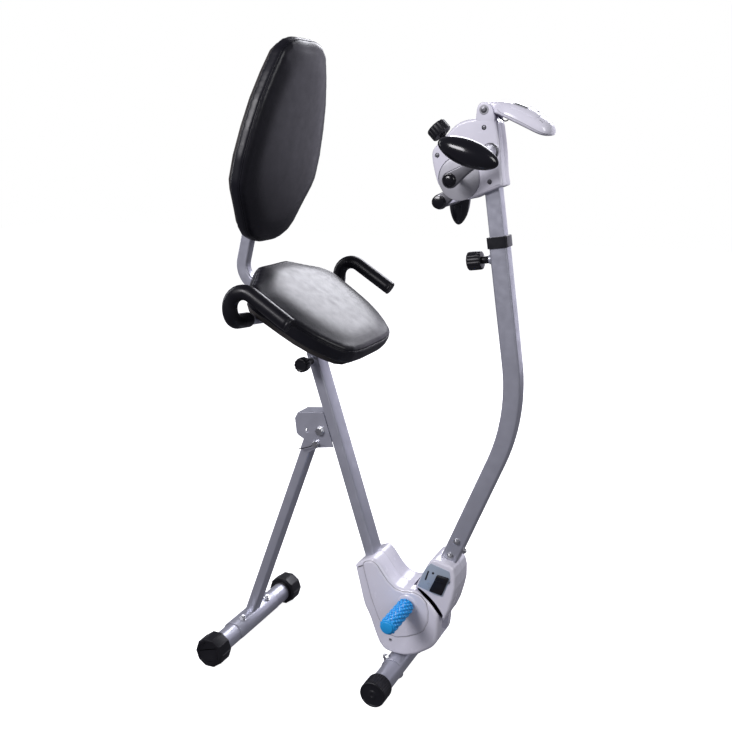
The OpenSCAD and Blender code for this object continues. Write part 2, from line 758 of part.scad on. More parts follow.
// built on the +Y side for a spindle at p
module crank_arm(p) {
    difference() {
        plate(arm_in, arm_out) link(axle, 17, p, 17);
        rod(axle, axle_d, 0, 200);
        rod(p, spindle_d - 2, 0, 200);
    }
}
module crank_arms() {
    color("silver") {
        mirror([0, 1, 0]) crank_arm(spindle_right);
        crank_arm(spindle_left);
    }
}
module crank_cap(p) {
    translate([p[0], arm_out, p[1]]) rotate([-90, 0, 0]) cylinder(d1 = 28, d2 = 20, h = 7);
}
module spindle_cap(p) {
    difference() {
        rod(p, 30, arm_in - 10, arm_in);
        rod(p, spindle_d - 2, arm_in - 6, arm_in + 1);
    }
}
module crank_caps() {
    color(black) {
        both() crank_cap(axle);
        mirror([0, 1, 0]) spindle_cap(spindle_right);
        spindle_cap(spindle_left);
    }
}
grip_r = 25;
spindle_end = grip_y + 17;
module spindle(p) {
    rod(p, spindle_d - 2, arm_in - 6, arm_out + 1);
    rod(p, spindle_d, arm_out, spindle_end);
}
module handle_spindles() {
    color("lightgray") {
        mirror([0, 1, 0]) spindle(spindle_right);
        spindle(spindle_left);
    }
}
neck_in = arm_out + 2;
neck_out = grip_y - 21;
module neck_body(p) {
    translate([p[0], neck_in, p[1]]) rotate([-90, 0, 0])
        cylinder(d1 = 30, d2 = 22, h = neck_out - neck_in);
}
module handle_neck(p) {
    color("silver") difference() {
        neck_body(p);
        rod(p, spindle_d + 2 * fit, neck_in - 1, neck_out + 1);
    }
}
// egg-shaped grip across the spindle's end, its long axis turned by a
module hand_grip(p, a) {
    color(black) difference() {
        translate([p[0], grip_y, p[1]]) rotate([0, a, 0]) rotate_extrude()
            polygon(concat([[0, -grip_len / 2 + 0.4]],
                [for (t = [-81:9:81]) [grip_r * cos(t), grip_len / 2 * sin(t)]],
                [[0, grip_len / 2 - 0.4]]));
        rod(p, spindle_d + 2 * fit, 0, spindle_end + 1);
        neck_body(p);
    }
}
module handle_neck_left() { handle_neck(spindle_left); }
module handle_neck_right() { mirror([0, 1, 0]) handle_neck(spindle_right); }
module hand_grip_left() { hand_grip(spindle_left, 3); }
module hand_grip_right() { mirror([0, 1, 0]) hand_grip(spindle_right, 109); }

// --- console ---
console_y = 45;
neck_y = 22.5;
console_side = [[12, 8], [2, 17], [30, 34], [52, 38], [83, 41], [105, 38], [126, 35], [141, 26],
    [145, 16], [142, 6], [122, 2], [99, 3], [49, 3]];
window_x = [50, 76];
button_at = 94;
module on_console() { at(console_hinge) rotate([0, console_tilt, 0]) children(); }
module console_body() {
    color(white) on_console() difference() {
        union() {
            difference() {
                plate(-console_y, console_y) polygon(console_side);
                for (y = [-console_y - 1, neck_y]) rod([0, 0], 40, y, y + console_y - neck_y + 1);
                plate(-console_y + 3, console_y - 3) offset(delta = -3)
                    polygon([for (i = [2:12]) console_side[i]]);
            }
            rod([0, 0], 26, -neck_y, neck_y);
            plate(-neck_y, neck_y) polygon([[0, -13], [12, 3], [30, 3], [30, 34], [2, 17], [-6, 11]]);
        }
        rod([0, 0], console_pin + 2 * fit, -50, 50);
        translate([window_x[0], -22, 34]) cube([window_x[1] - window_x[0], 44, 10]);
        translate([button_at, 0, 30]) cylinder(d = 10.2, h = 20);
    }
}
module console_window() {
    color([0.3, 0.33, 0.34]) on_console()
        translate([window_x[0] + 0.1, -21.9, 34.1]) cube([window_x[1] - window_x[0] - 0.2, 43.8, 4.2]);
}
module console_button() {
    color([0.8, 0.2, 0.2]) on_console() {
        translate([button_at, 0, 34]) cylinder(d = 10, h = 7);
        translate([button_at, 0, 31.5]) cylinder(d = 13, h = 2.6);
    }
}
wire_points = [[274, 0, 1301], [277, 0, 1299], [281, 0, 1296], [286, 0, 1293], [291, 0, 1294],
    [293, 0, 1295.8], [294.7, 0, 1297.6]];
module sensor_wire() {
    color(black) sweep(wire_points, 3, 8);
}

// --- seat unit ---
// half outlines: distance along the pad, half width
seat_half = [[-165, 60], [-134, 120], [-117, 157], [-90, 183], [-70, 184], [1, 177], [38, 171],
    [75, 158], [105, 140], [130, 120], [142, 95], [147, 50]];
back_half = [[-128, 30], [-124, 52], [-112, 82], [-94, 102], [-60, 124], [-15, 155], [10, 167],
    [65, 168], [130, 158], [190, 143], [247, 120], [295, 95], [313, 70], [320, 40]];
module mirrored(h) {
    n = len(h) - 1;
    polygon(concat(h, [for (i = [0:n]) [h[n - i][0], -h[n - i][1]]]));
}
// a slab of the back: x0 to x1 out of its face
module back_slab(x0, x1) {
    on_back() translate([x1, 0, 0]) rotate([0, -90, 0]) linear_extrude(x1 - x0) children();
}
module seat_slab(z0, z1) {
    on_seat() translate([0, 0, z0]) linear_extrude(z1 - z0) children();
}
module seat_cushion() { color(black) seat_slab(-seat_t, 0) mirrored(seat_half); }
module back_cushion() { color(black) back_slab(-back_t, 0) mirrored(back_half); }

pan_screws = [[-35, 50], [45, 50]];
back_bolts = [20, 110];
seat_under = -seat_t - board_t;
back_behind = -back_t - back_board_t;
bar_back = back_behind - bar_deep;
module pan_drill(d, z0, z1) {
    on_seat() both() for (p = pan_screws) translate([p[0], p[1], z0]) cylinder(d = d, h = z1 - z0);
}
module back_drill(d, x0, x1) {
    on_back() for (h = back_bolts) translate([x0, 0, h]) rotate([0, 90, 0]) cylinder(d = d, h = x1 - x0);
}
module cushion_boards() {
    color("saddlebrown") difference() {
        union() {
            seat_slab(seat_under, -seat_t) offset(delta = -8) mirrored(seat_half);
            back_slab(back_behind, -back_t) offset(delta = -8) mirrored(back_half);
        }
        pan_drill(6.1, seat_under - 1, -seat_t - 3);
        back_drill(6.1, back_behind - 1, -back_t - 2);
        on_seat() both() handle_groove();
    }
}
// the handlebar's rising part lies in a groove of the seat board
module handle_groove() {
    d = [-78, handle_y, -56] - [handle_cross[0], 120, handle_cross[1]];
    translate([handle_cross[0], 120, handle_cross[1]])
        rotate([0, acos(d[2] / norm(d)), atan2(d[1], d[0])]) cylinder(d = handle_d + 1.6, h = 160);
    translate([handle_cross[0], 0, handle_cross[1]]) rotate([-90, 0, 0]) cylinder(d = handle_d + 1.6, h = 121);
}
// bent bar: forward under the seat, then up behind the backrest
bar_start = placed([0, bar_p], seat_o, seat_pitch);
bar_line = placed([back_behind - bar_deep / 2, 0], back_o, back_lean);
bar_corner = reach(bar_start, 180 - seat_pitch, bar_line, 90 - back_lean);
bar_turn = 90 - seat_pitch + back_lean;
bar_tan = bar_bend * tan(bar_turn / 2);
bar_end = -bar_corner + bar_tan;
bar_centre = placed([bar_end, bar_p + bar_bend], seat_o, seat_pitch);
bar_steps = 14;
function bar_side(r) = [for (i = [0:bar_steps])
    polar(bar_centre, r, -90 - seat_pitch - bar_turn * i / bar_steps)];
// side outline of the bent bar, depth w, stretched by more at both ends
function bar_strip(w, more) = concat(
    [placed([50 + more, bar_p + w / 2], seat_o, seat_pitch)], bar_side(bar_bend - w / 2),
    [for (x = [w / 2, -w / 2]) placed([back_behind - bar_deep / 2 + x, bar_top + more], back_o, back_lean)],
    reversed(bar_side(bar_bend + w / 2)), [placed([50 + more, bar_p - w / 2], seat_o, seat_pitch)]);
module back_bar() {
    color(steel) difference() {
        plate(-bar_w / 2, bar_w / 2) polygon(bar_strip(bar_deep, 0));
        plate(-bar_w / 2 + wall, bar_w / 2 - wall) polygon(bar_strip(bar_deep - 2 * wall, 1));
        on_seat() rod(handle_cross, handle_d + 0.2, -30, 30);
        back_drill(6.1, bar_back - 1, back_behind + 1);
    }
}
module seat_post() {
    color(steel) difference() {
        union() {
            on_main() translate([0, 0, main_len - seat_up - 100]) difference() {
                translate([-post_d / 2, -post_w / 2, 0]) cube([post_d, post_w, seat_up + 120]);
                translate([-post_d / 2 + wall, -post_w / 2 + wall, -1])
                    cube([post_d - 2 * wall, post_w - 2 * wall, seat_up + 122]);
            }
            both() plate(bar_w / 2 + 0.3, bar_w / 2 + 3.3) polygon(concat(
                [for (q = [[-40, seat_under - 3], [50, seat_under - 3], [50, seat_under - 26]])
                    placed(q, seat_o, seat_pitch)],
                [for (q = [[10, main_len + 4], [-10, main_len + 4]]) placed(q, foot_o, -main_lean)],
                [placed([-40, seat_under - 26], seat_o, seat_pitch)]));
            on_seat() translate([-50, -60, seat_under - 8]) cube([110, 120, 3]);
            on_seat() both() translate([-50, 40, seat_under - 8]) cube([110, 20, 8]);
        }
        on_main() translate([0, 5 - post_w / 2, 0]) rotate([90, 0, 0]) linear_extrude(10)
            clamp_slot(post_at - seat_up, post_at);
        pan_drill(6.1, seat_under - 9, seat_under + 1);
    }
}
module seat_fasteners() {
    color("lightgray") {
        pan_drill(6, seat_under - 8, -seat_t - 4);
        pan_drill(12, seat_under - 11, seat_under - 8);
        back_drill(6, bar_back, -back_t - 3);
        back_drill(12, bar_back - 3, bar_back);
    }
}
module seat_knob() {
    color(black) on_main() translate([0, -63, post_at]) rotate([90, 0, 0])
        clamp_knob(34, 22, 63 - main_w / 2 - 8.3, 63 - post_w / 2 + 0.8);
}
function handle_route(front, inner) = rounded([[front, -handle_y, 25], [-130, -handle_y, 25],
    [-78, -handle_y, -56], [-70, inner, -67]], [36, 32], 6);
foam_to = 185;
module handlebar_tube() {
    half = handle_route(37, -120);
    longer = handle_route(38, -120);
    function whole(h) = concat(h, [for (i = [len(h) - 1:-1:0]) [h[i][0], -h[i][1], h[i][2]]]);
    color(steel) on_seat() difference() {
        sweep(whole(half), handle_d, 16);
        sweep(whole(longer), handle_d - 3, 16);
    }
}
function cut_short(h) = [for (i = [0:len(h) - 2]) h[i]];
module foam_grips() {
    color(black) on_seat() both() difference() {
        sweep(concat(cut_short(handle_route(37, -120)), [[-73.7, -foam_to, -61.9]]), foam_d, 16);
        sweep(concat(cut_short(handle_route(39, -120)), [[-73.6, -foam_to + 2, -62.1]]),
            handle_d + 0.3, 16);
    }
}
module handlebar_caps() {
    color(black) on_seat() both() translate([37.1, -handle_y, 25]) rotate([0, 90, 0])
        cylinder(d = foam_d, h = 5);
}

main_tube();
fold_bracket();
front_foot_tube();
base_bracket();
base_shell_right();
base_shell_left();
foot_roller_axle();
pivot_bolts();
base_fasteners();
front_wheel_cap_right();
front_wheel_cap_left();
foot_roller_right();
foot_roller_left();
leg_tube();
leg_head();
rear_foot_tube();
leg_fasteners();
rear_cap_right();
rear_cap_left();
lock_pin();
pin_pull_wire();
mast_tube();
mast_foot_bracket();
mast_cover_right();
mast_cover_left();
mast_fasteners();
latch_slider();
mast_sleeve();
mast_knob();
upper_mast_tube();
head_shell_right();
head_shell_left();
head_fasteners();
crank_bearings();
brake_band();
tension_knob();
crank_axle();
crank_wheel();
crank_arms();
crank_caps();
handle_spindles();
handle_neck_right();
hand_grip_right();
handle_neck_left();
hand_grip_left();
console_body();
console_window();
console_button();
sensor_wire();
seat_post();
cushion_boards();
seat_cushion();
back_bar();
back_cushion();
handlebar_tube();
foam_grips();
handlebar_caps();
seat_fasteners();
seat_knob();
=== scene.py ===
"""Exercise bike: the looks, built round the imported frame."""

import math
from math import cos, pi, radians, sin

import numpy as np

import bmesh
import bpy
from mathutils import Matrix, Vector
from mathutils.bvhtree import BVHTree
from mathutils.kdtree import KDTree


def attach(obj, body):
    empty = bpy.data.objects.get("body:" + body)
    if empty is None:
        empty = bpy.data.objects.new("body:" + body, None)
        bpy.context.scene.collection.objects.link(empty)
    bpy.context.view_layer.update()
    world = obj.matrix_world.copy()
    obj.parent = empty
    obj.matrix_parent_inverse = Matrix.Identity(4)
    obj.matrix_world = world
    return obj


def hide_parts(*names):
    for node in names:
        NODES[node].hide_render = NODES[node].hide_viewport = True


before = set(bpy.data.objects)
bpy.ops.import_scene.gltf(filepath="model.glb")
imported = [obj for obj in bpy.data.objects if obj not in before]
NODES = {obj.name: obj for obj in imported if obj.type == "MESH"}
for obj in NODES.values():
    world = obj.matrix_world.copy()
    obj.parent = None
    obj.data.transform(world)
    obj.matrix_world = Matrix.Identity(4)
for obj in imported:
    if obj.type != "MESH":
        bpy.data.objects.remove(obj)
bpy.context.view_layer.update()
scene = bpy.context.scene
MM = 0.001
TAU = math.tau

# ---------------------------------------------------------------- camera, light, floor
FOCAL = 46.72
CAMERA_AT = Vector((0.867, -1.930, 1.273))
AIM = Vector((-0.025, 0.0, 0.7473))


def add(obj):
    scene.collection.objects.link(obj)
    return obj


def point(obj, at, aim):
    """Puts a camera or lamp at one place, turned towards another."""
    obj.location = at
    obj.rotation_mode = "QUATERNION"
    obj.rotation_quaternion = (Vector(aim) - Vector(at)).to_track_quat("-Z", "Y")


camera = add(bpy.data.objects.new("camera", bpy.data.cameras.new("camera")))
camera.data.lens = FOCAL
camera.data.sensor_width = 36
point(camera, CAMERA_AT, AIM)
camera.data.clip_end = 50
scene.camera = camera
scene.view_settings.view_transform = "Standard"


def softbox(name, at, aim, size, power, colour=(1, 1, 1)):
    light = bpy.data.lights.new(name, "AREA")
    light.shape = "RECTANGLE"
    light.size, light.size_y = size
    light.energy = power
    light.color = colour
    obj = add(bpy.data.objects.new(name, light))
    point(obj, at, aim)
    obj.visible_camera = False


softbox("light_back", (-0.05, 3.1, 2.75), (-0.1, 0, 0.8), (2.3, 1.5), 96, (0.93, 0.93, 1))
softbox("light_wall", (1.2, 3.4, 1.2), (0.2, 0, 0.8), (2.6, 2.2), 20, (0.87, 0.84, 1))
softbox("light_key", (-1.3, -3.0, 2.7), (0, 0, 0.9), (1.8, 1.2), 106, (0.98, 0.96, 1))
softbox("light_right", (3.0, -0.9, 2.4), (0, 0, 0.9), (1.0, 1.6), 36)
softbox("light_left", (-3.0, 0.2, 1.8), (0, 0, 0.8), (0.7, 2.0), 14, (0.96, 0.97, 1))


def fill(node, values):
    """Sets inputs of a shader node by name."""
    for name, value in values.items():
        node.inputs[name].default_value = value


world = bpy.data.worlds.new("studio")
scene.world = world
world.use_nodes = True
tree = world.node_tree
backdrop = tree.nodes["Background"]
fill(backdrop, {"Color": (1, 1, 1, 1), "Strength": 1.0})
ambient = tree.nodes.new("ShaderNodeBackground")
fill(ambient, {"Color": (0.92, 0.9, 1.06, 1), "Strength": 0.13})
ray = tree.nodes.new("ShaderNodeLightPath")
either = tree.nodes.new("ShaderNodeMixShader")
tree.links.new(ray.outputs["Is Camera Ray"], either.inputs[0])
tree.links.new(ambient.outputs[0], either.inputs[1])
tree.links.new(backdrop.outputs[0], either.inputs[2])
tree.links.new(either.outputs[0], tree.nodes["World Output"].inputs["Surface"])

# ---------------------------------------------------------------- materials
LOOKS = {}


def material(name, colour, rough, metallic=0.0, cell=None, grain=900.0, height=12e-6,
             mottle=0.06, spread=0.08, coat=0.0, specular=0.5):
    """Principled surface: fine grain as bump, slow mottling in colour and roughness.
    cell adds a cellular pattern of that many cells to the metre, as in leather."""
    m = bpy.data.materials.new(name)
    m.use_nodes = True
    t = m.node_tree
    shader = t.nodes["Principled BSDF"]
    put = shader.inputs
    fill(shader, {"Metallic": metallic, "Specular IOR Level": specular, "Coat Weight": coat,
                  "Coat Roughness": 0.12})
    where = t.nodes.new("ShaderNodeTexCoord")

    def noise(scale, detail=3.0):
        n = t.nodes.new("ShaderNodeTexNoise")
        fill(n, {"Scale": scale, "Detail": detail})
        t.links.new(where.outputs["Object"], n.inputs["Vector"])
        return n.outputs["Fac"]

    def spread_to(source, low, high):
        n = t.nodes.new("ShaderNodeMapRange")
        fill(n, {"From Min": 0.3, "From Max": 0.7, "To Min": low, "To Max": high})
        t.links.new(source, n.inputs["Value"])
        return n.outputs["Result"]

    slow = noise(14.0)
    dark, pale = ([min(1, c * (1 + way * mottle)) for c in colour] + [1] for way in (-1, 1))
    mix = t.nodes.new("ShaderNodeMix")
    mix.data_type = "RGBA"
    fill(mix, {"A": dark, "B": pale})
    t.links.new(spread_to(slow, 0, 1), mix.inputs["Factor"])
    t.links.new(mix.outputs["Result"], put["Base Color"])
    gloss = spread_to(noise(55.0, 5.0), max(0.02, rough - spread), rough + spread)
    t.links.new(gloss, put["Roughness"])
    bump = t.nodes.new("ShaderNodeBump")
    fill(bump, {"Strength": 1.0, "Distance": height})
    high = noise(grain, 2.0)
    if cell:
        v = t.nodes.new("ShaderNodeTexVoronoi")
        v.feature = "SMOOTH_F1"
        fill(v, {"Scale": cell})
        t.links.new(where.outputs["Object"], v.inputs["Vector"])
        both = t.nodes.new("ShaderNodeMath")
        both.operation = "ADD"
        t.links.new(v.outputs["Distance"], both.inputs[0])
        t.links.new(high, both.inputs[1])
        high = both.outputs[0]
    t.links.new(high, bump.inputs["Height"])
    t.links.new(bump.outputs["Normal"], put["Normal"])
    LOOKS[name] = m


material("silver_paint", (0.46, 0.47, 0.54), 0.36, 0.5, grain=1600, height=6e-6, mottle=0.04, coat=0.25)
material("white_plastic", (0.78, 0.77, 0.86), 0.24, grain=420, height=20e-6, mottle=0.02, spread=0.05,
         coat=0.2)
material("blue_plastic", (0.02, 0.38, 0.86), 0.36, grain=700, mottle=0.05, spread=0.06)
material("zinc", (0.66, 0.67, 0.69), 0.30, 1.0, grain=1200, mottle=0.08, spread=0.1)
material("machine_steel", (0.42, 0.42, 0.44), 0.38, 1.0, grain=900, mottle=0.1, spread=0.12)
material("silver_metal", (0.50, 0.50, 0.54), 0.34, 0.85, grain=1500, mottle=0.05, spread=0.08)
material("black_plastic", (0.009, 0.009, 0.012), 0.38, grain=1500, height=6e-6, mottle=0.25, spread=0.06,
         specular=0.35)
material("gloss_black_plastic", (0.006, 0.006, 0.009), 0.19, grain=500, height=6e-6, mottle=0.2,
         spread=0.03, coat=0.12)
material("black_vinyl", (0.007, 0.007, 0.011), 0.37, cell=520, grain=1400, height=3e-6, mottle=0.2,
         spread=0.04, specular=0.38)
material("board", (0.035, 0.031, 0.03), 0.75, grain=600, height=100e-6, mottle=0.3)
material("black_foam", (0.007, 0.007, 0.010), 0.33, cell=900, grain=1800, height=1e-6, mottle=0.15,
         specular=0.28)
material("display", (0.10, 0.115, 0.105), 0.10, grain=300, height=5e-6, mottle=0.05, spread=0.03, coat=0.6)
material("button_grey", (0.36, 0.36, 0.39), 0.38, grain=900, mottle=0.05)
material("satin_disc", (0.50, 0.50, 0.54), 0.34, 0.5, grain=900, height=3e-6, mottle=0.02, spread=0.03)
material("dark_metal", (0.16, 0.16, 0.175), 0.34, 0.7, grain=1300, height=4e-6, mottle=0.05, spread=0.05)
material("latch_panel", (0.40, 0.47, 0.56), 0.35, 0.1, grain=700, mottle=0.05)
material("moulded_mark", (0.02, 0.02, 0.025), 0.5, grain=700)

# ---------------------------------------------------------------- mesh code, in millimetres


def shift(x, y, z):
    return Matrix.Translation((x, y, z))


def turn_y(a):
    return Matrix.Rotation(radians(a), 4, "Y")


def local(x, z, lean=0.0):
    """A frame in the side plane that leans forward by lean degrees."""
    return shift(x, 0, z) @ turn_y(lean)


SIDES = ((-1, "right"), (1, "left"))
FOOT = (77.0, 31.0)
REAR = (-355.0, 35.0)
PIVOT = (-133.0, 583.0)
SWING = (71.0, 118.0)
ROLLER = (106.0, 199.0)
AXLE = (201.0, 1177.0)
HINGE = (251.0, 1315.0)
MAST_LEAN, UPPER_LEAN, LEG_LEAN, SADDLE_LEAN = 22.2, -8.2, 20.4, -42
PITCH, LEAN = 32.4, 14.5                        # of the seat and of the backrest
MAST_RUN = 690.8                                # from the front foot to the mast's bend
MAIN = local(*FOOT, -17.5)
MAST = local(*FOOT, MAST_LEAN)
LEG = local(-361, 35, LEG_LEAN)
VERTEX = (FOOT[0] + MAST_RUN * sin(radians(MAST_LEAN)),
          FOOT[1] + MAST_RUN * cos(radians(MAST_LEAN)))
UPPER = local(*VERTEX, UPPER_LEAN)
SEAT = local(-125, 886, PITCH)
BACK = local(-240, 1150, LEAN)
CONSOLE = local(*HINGE, 25)


def polar(c, r, a):
    return (c[0] + r * cos(radians(a)), c[1] + r * sin(radians(a)))


def to_side(m, x, z):
    p = m @ Vector((x, 0, z))
    return (p.x, p.z)


def along_y(x, y, z, way=1):
    """A frame whose own Z runs along world Y (way 1) or against it (way -1)."""
    return shift(x, y, z) @ Matrix.Rotation(radians(-90 * way), 4, "X")


def ring_about(p, r, side, up, n):
    """The n points of a circle round p, in the plane of side and up."""
    return [p + r * (cos(TAU * k / n) * side + sin(TAU * k / n) * up) for k in range(n)]


class Shape:
    """Vertices and faces in millimetres, gathered into one mesh."""

    def __init__(self):
        self.v, self.f = [], []

    def add(self, verts, faces, m=None):
        base = len(self.v)
        self.v += [m @ Vector(p) if m else Vector(p) for p in verts]
        self.f += [[i + base for i in f] for f in faces]
        return self

    def loft(self, rings, m=None, ends=True, round_trip=False):
        """Closed rings of points joined one to the next, capped at both ends."""
        n, k = len(rings[0]), len(rings)
        verts = [p for r in rings for p in r]
        faces = []
        for i in range(k if round_trip else k - 1):
            a, b = i * n, ((i + 1) % k) * n
            for j in range(n):
                q = (j + 1) % n
                faces.append([a + j, a + q, b + q, b + j])
        if ends and not round_trip:
            faces.append(list(range(n))[::-1])
            faces.append(list(range((k - 1) * n, k * n)))
        return self.add(verts, faces, m)

    def turned(self, profile, m=None, n=64):
        """Profile of (radius, height) turned about Z."""
        rings = []
        for r, h in profile:
            r = max(r, 0.02)
            rings.append([(r * cos(TAU * i / n), r * sin(TAU * i / n), h) for i in range(n)])
        return self.loft(rings, m)

    def slab(self, outline, y0, y1, r0=1.0, r1=1.0, steps=5, m=None):
        """An outline of the side plane from y0 to y1, its edges rounded by r0 and r1."""
        rings = []
        for k in range(steps + 1):
            a = radians(90 * k / steps)
            drawn_in = inset(outline, r0 * (1 - sin(a)))
            rings.append([(x, y0 + r0 * (1 - cos(a)), z) for x, z in drawn_in])
        for k in range(steps, -1, -1):
            a = radians(90 * k / steps)
            drawn_in = inset(outline, r1 * (1 - sin(a)))
            rings.append([(x, y1 - r1 * (1 - cos(a)), z) for x, z in drawn_in])
        return self.loft(rings, m)

    def half_slab(self, outline, side, near, far, r_near, r_far, steps=7):
        """A slab on one side of the middle plane, from near to far."""
        if side > 0:
            return self.slab(outline, near, far, r_near, r_far, steps)
        return self.slab(outline, -far, -near, r_far, r_near, steps)

    def strut(self, line, width, deep, corner, wall=0.0):
        """A rounded rectangular tube along a line of ((x, z), (nx, nz)) in the side plane."""
        def section(w, d, r):
            out = []
            for sx, sy, a0 in ((1, 1, 0), (-1, 1, 90), (-1, -1, 180), (1, -1, 270)):
                for k in range(6):
                    a = radians(a0 + 18 * k)
                    out.append((sx * (d / 2 - r) + r * cos(a),
                                sy * (w / 2 - r) + r * sin(a)))
            return out

        def ring(p, n, w, d, r):
            return [(p[0] + n[0] * a, b, p[1] + n[1] * a) for a, b in section(w, d, r)]

        rings = [ring(p, n, width, deep, corner) for p, n in line]
        if not wall:
            return self.loft(rings)
        inner = max(0.6, corner - wall)
        rings += [ring(p, n, width - 2 * wall, deep - 2 * wall, inner) for p, n in line[::-1]]
        return self.loft(rings, round_trip=True)

    def pipe(self, points, r, n=20, ends=True, taper=None):
        """A round tube along points."""
        pts = [Vector(p) for p in points]
        side, rings = None, []
        for i, p in enumerate(pts):
            t = (pts[min(i + 1, len(pts) - 1)] - pts[max(i - 1, 0)]).normalized()
            if side is None:
                side = t.cross(Vector((0, 0, 1)) if abs(t.z) < 0.9 else Vector((0, 1, 0)))
            side = (side - t * side.dot(t)).normalized()
            up = t.cross(side)
            rr = r * (taper(i / (len(pts) - 1)) if taper else 1)
            rings.append(ring_about(p, rr, side, up, n))
        return self.loft(rings, ends=ends)

    def ring_pipe(self, points, r, n=8):
        """A round cord along a closed loop of points."""
        pts = [Vector(p) for p in points]
        m = len(pts)
        side, rings = None, []
        for i, p in enumerate(pts):
            t = (pts[(i + 1) % m] - pts[i - 1]).normalized()
            if side is None:
                side = t.cross(Vector((0.13, 0.31, 0.94)))
            side = (side - t * side.dot(t)).normalized()
            up = t.cross(side)
            rings.append(ring_about(p, r, side, up, n))
        return self.loft(rings, round_trip=True)

    def hexagon(self, m, across, high, dome=0.9):
        """A hexagon head with its top corners turned off."""
        r = across / 2 / cos(pi / 6)
        turn = range(0, 360, 10)

        def six_sided(q, h):
            far = [min(r, q / cos((a % 60 - 30) * pi / 180)) for a in turn]
            return [(*polar((0, 0), f, a), h) for f, a in zip(far, turn)]

        def round_top(q, h):
            return [(*polar((0, 0), q, a), h) for a in turn]

        return self.loft([six_sided(across / 2, 0), six_sided(across / 2, high - dome),
                          round_top(across / 2 * 0.96, high - dome * 0.15),
                          round_top(across / 2 * 0.9, high)], m)

    def build(self, name, clean=False):
        """The mesh object, its faces turned outwards; clean also merges doubled points."""
        data = bpy.data.meshes.new(name)
        data.from_pydata([p * MM for p in self.v], [], self.f)
        bm = bmesh.new()
        bm.from_mesh(data)
        if clean:
            bmesh.ops.remove_doubles(bm, verts=bm.verts, dist=1e-6)
            bmesh.ops.dissolve_degenerate(bm, edges=bm.edges, dist=1e-7)
        bmesh.ops.recalc_face_normals(bm, faces=bm.faces)
        bm.to_mesh(data)
        bm.free()
        return add(bpy.data.objects.new(name, data))

    def make(self, name, body, slot, replaces=(), look=None, sharp=38.0, bevel=0.0):
        return dress(self.build(name, clean=True), body, slot, replaces, look, sharp, bevel)


def modify(obj, kind, **values):
    """A modifier of one kind, with its values set."""
    mod = obj.modifiers.new(kind.lower(), kind)
    for name, value in values.items():
        setattr(mod, name, value)
    return mod


def soft_edges(obj, width, segments, angle):
    modify(obj, "BEVEL", width=width * MM, segments=segments, limit_method="ANGLE",
           angle_limit=radians(angle), harden_normals=True)


def dress(obj, body, slot, replaces=(), look=None, sharp=38.0, bevel=0.0):
    """Smooth shading, material, body, slot and replaced nodes of a finished mesh."""
    obj.data.shade_smooth()
    if bevel:
        soft_edges(obj, bevel, 3, 35)
    else:
        obj.data.set_sharp_from_angle(angle=radians(sharp))
    obj.data.materials.clear()
    obj.data.materials.append(LOOKS[look or slot])
    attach(obj, body)
    if replaces:
        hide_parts(*replaces)
    return obj


def area(outline):
    return sum(a[0] * b[1] - b[0] * a[1] for a, b in zip(outline, outline[1:] + outline[:1])) / 2


def inset(outline, d):
    """The outline moved inwards by d, mitred."""
    if abs(d) < 1e-9:
        return list(outline)
    way = 1 if area(outline) > 0 else -1
    out, n = [], len(outline)
    for i, p in enumerate(outline):
        a, b = outline[i - 1], outline[(i + 1) % n]
        e, f = Vector((p[0] - a[0], p[1] - a[1])), Vector((b[0] - p[0], b[1] - p[1]))
        if e.length < 1e-6 or f.length < 1e-6:
            out.append(p)
            continue
        e.normalize()
        f.normalize()
        u, v = Vector((-e.y, e.x)) * way, Vector((-f.y, f.x)) * way
        w = (u + v) / max(0.5, 1 + u.dot(v))
        out.append((p[0] + w.x * d, p[1] + w.y * d))
    return out


def fillet(outline, r, n=5):
    """The outline with every corner rounded by up to r, less where its edges are short."""
    out, k = [], len(outline)
    for i, p in enumerate(outline):
        p = Vector(p)
        a, b = Vector(outline[i - 1]) - p, Vector(outline[(i + 1) % k]) - p
        turn = pi - a.angle(b, pi)
        t = min(r * math.tan(turn / 2), 0.49 * a.length, 0.49 * b.length)
        if turn < radians(1.5):
            out.append(tuple(p))
            continue
        a, b = p + a.normalized() * t, p + b.normalized() * t
        for j in range(n + 1):
            s = j / n
            out.append(tuple(a * (1 - s) ** 2 + p * 2 * s * (1 - s) + b * s ** 2))
    return out


def soften(outline, rounds=2):
    """The outline with its corners cut off again and again, which leaves a smooth curve."""
    for _ in range(rounds):
        out = []
        for i, p in enumerate(outline):
            q = outline[(i + 1) % len(outline)]
            out += [(p[0] * s + q[0] * t, p[1] * s + q[1] * t) for s, t in ((0.8, 0.2), (0.2, 0.8))]
        outline = out
    return outline


def circle(c, r, n):
    return [polar(c, r, 360.0 * i / n) for i in range(n)]


def hull(points):
    """Convex hull of points of the side plane."""
    pts = sorted(set((round(x, 5), round(z, 5)) for x, z in points))

    def half(ps):
        out = []
        for p in ps:
            while len(out) > 1 and ((out[-1][0] - out[-2][0]) * (p[1] - out[-2][1])
                                    - (out[-1][1] - out[-2][1]) * (p[0] - out[-2][0])) <= 0:
                out.pop()
            out.append(p)
        return out[:-1]

    return half(pts) + half(pts[::-1])


def apply_all(obj):
    """Bakes an object's modifiers into its own mesh."""
    bpy.context.view_layer.update()
    made = bpy.data.meshes.new_from_object(obj.evaluated_get(bpy.context.evaluated_depsgraph_get()))
    obj.modifiers.clear()
    obj.data = made


def cut(obj, cutters):
    """Takes cutter shapes out of a mesh for good."""
    for shape in cutters:
        tool = shape.build("cutter")
        modify(obj, "BOOLEAN", operation="DIFFERENCE", solver="EXACT", object=tool)
        apply_all(obj)
        bpy.data.objects.remove(tool)
    obj.data.shade_smooth()
    obj.data.set_sharp_from_angle(angle=radians(38))
    return obj


def straight(m, z0, z1, x=0.0):
    """Two stations of a strut along a frame's own Z."""
    n = m.to_3x3() @ Vector((1, 0, 0))
    return [(to_side(m, x, z), (n.x, n.z)) for z in (z0, z1)]


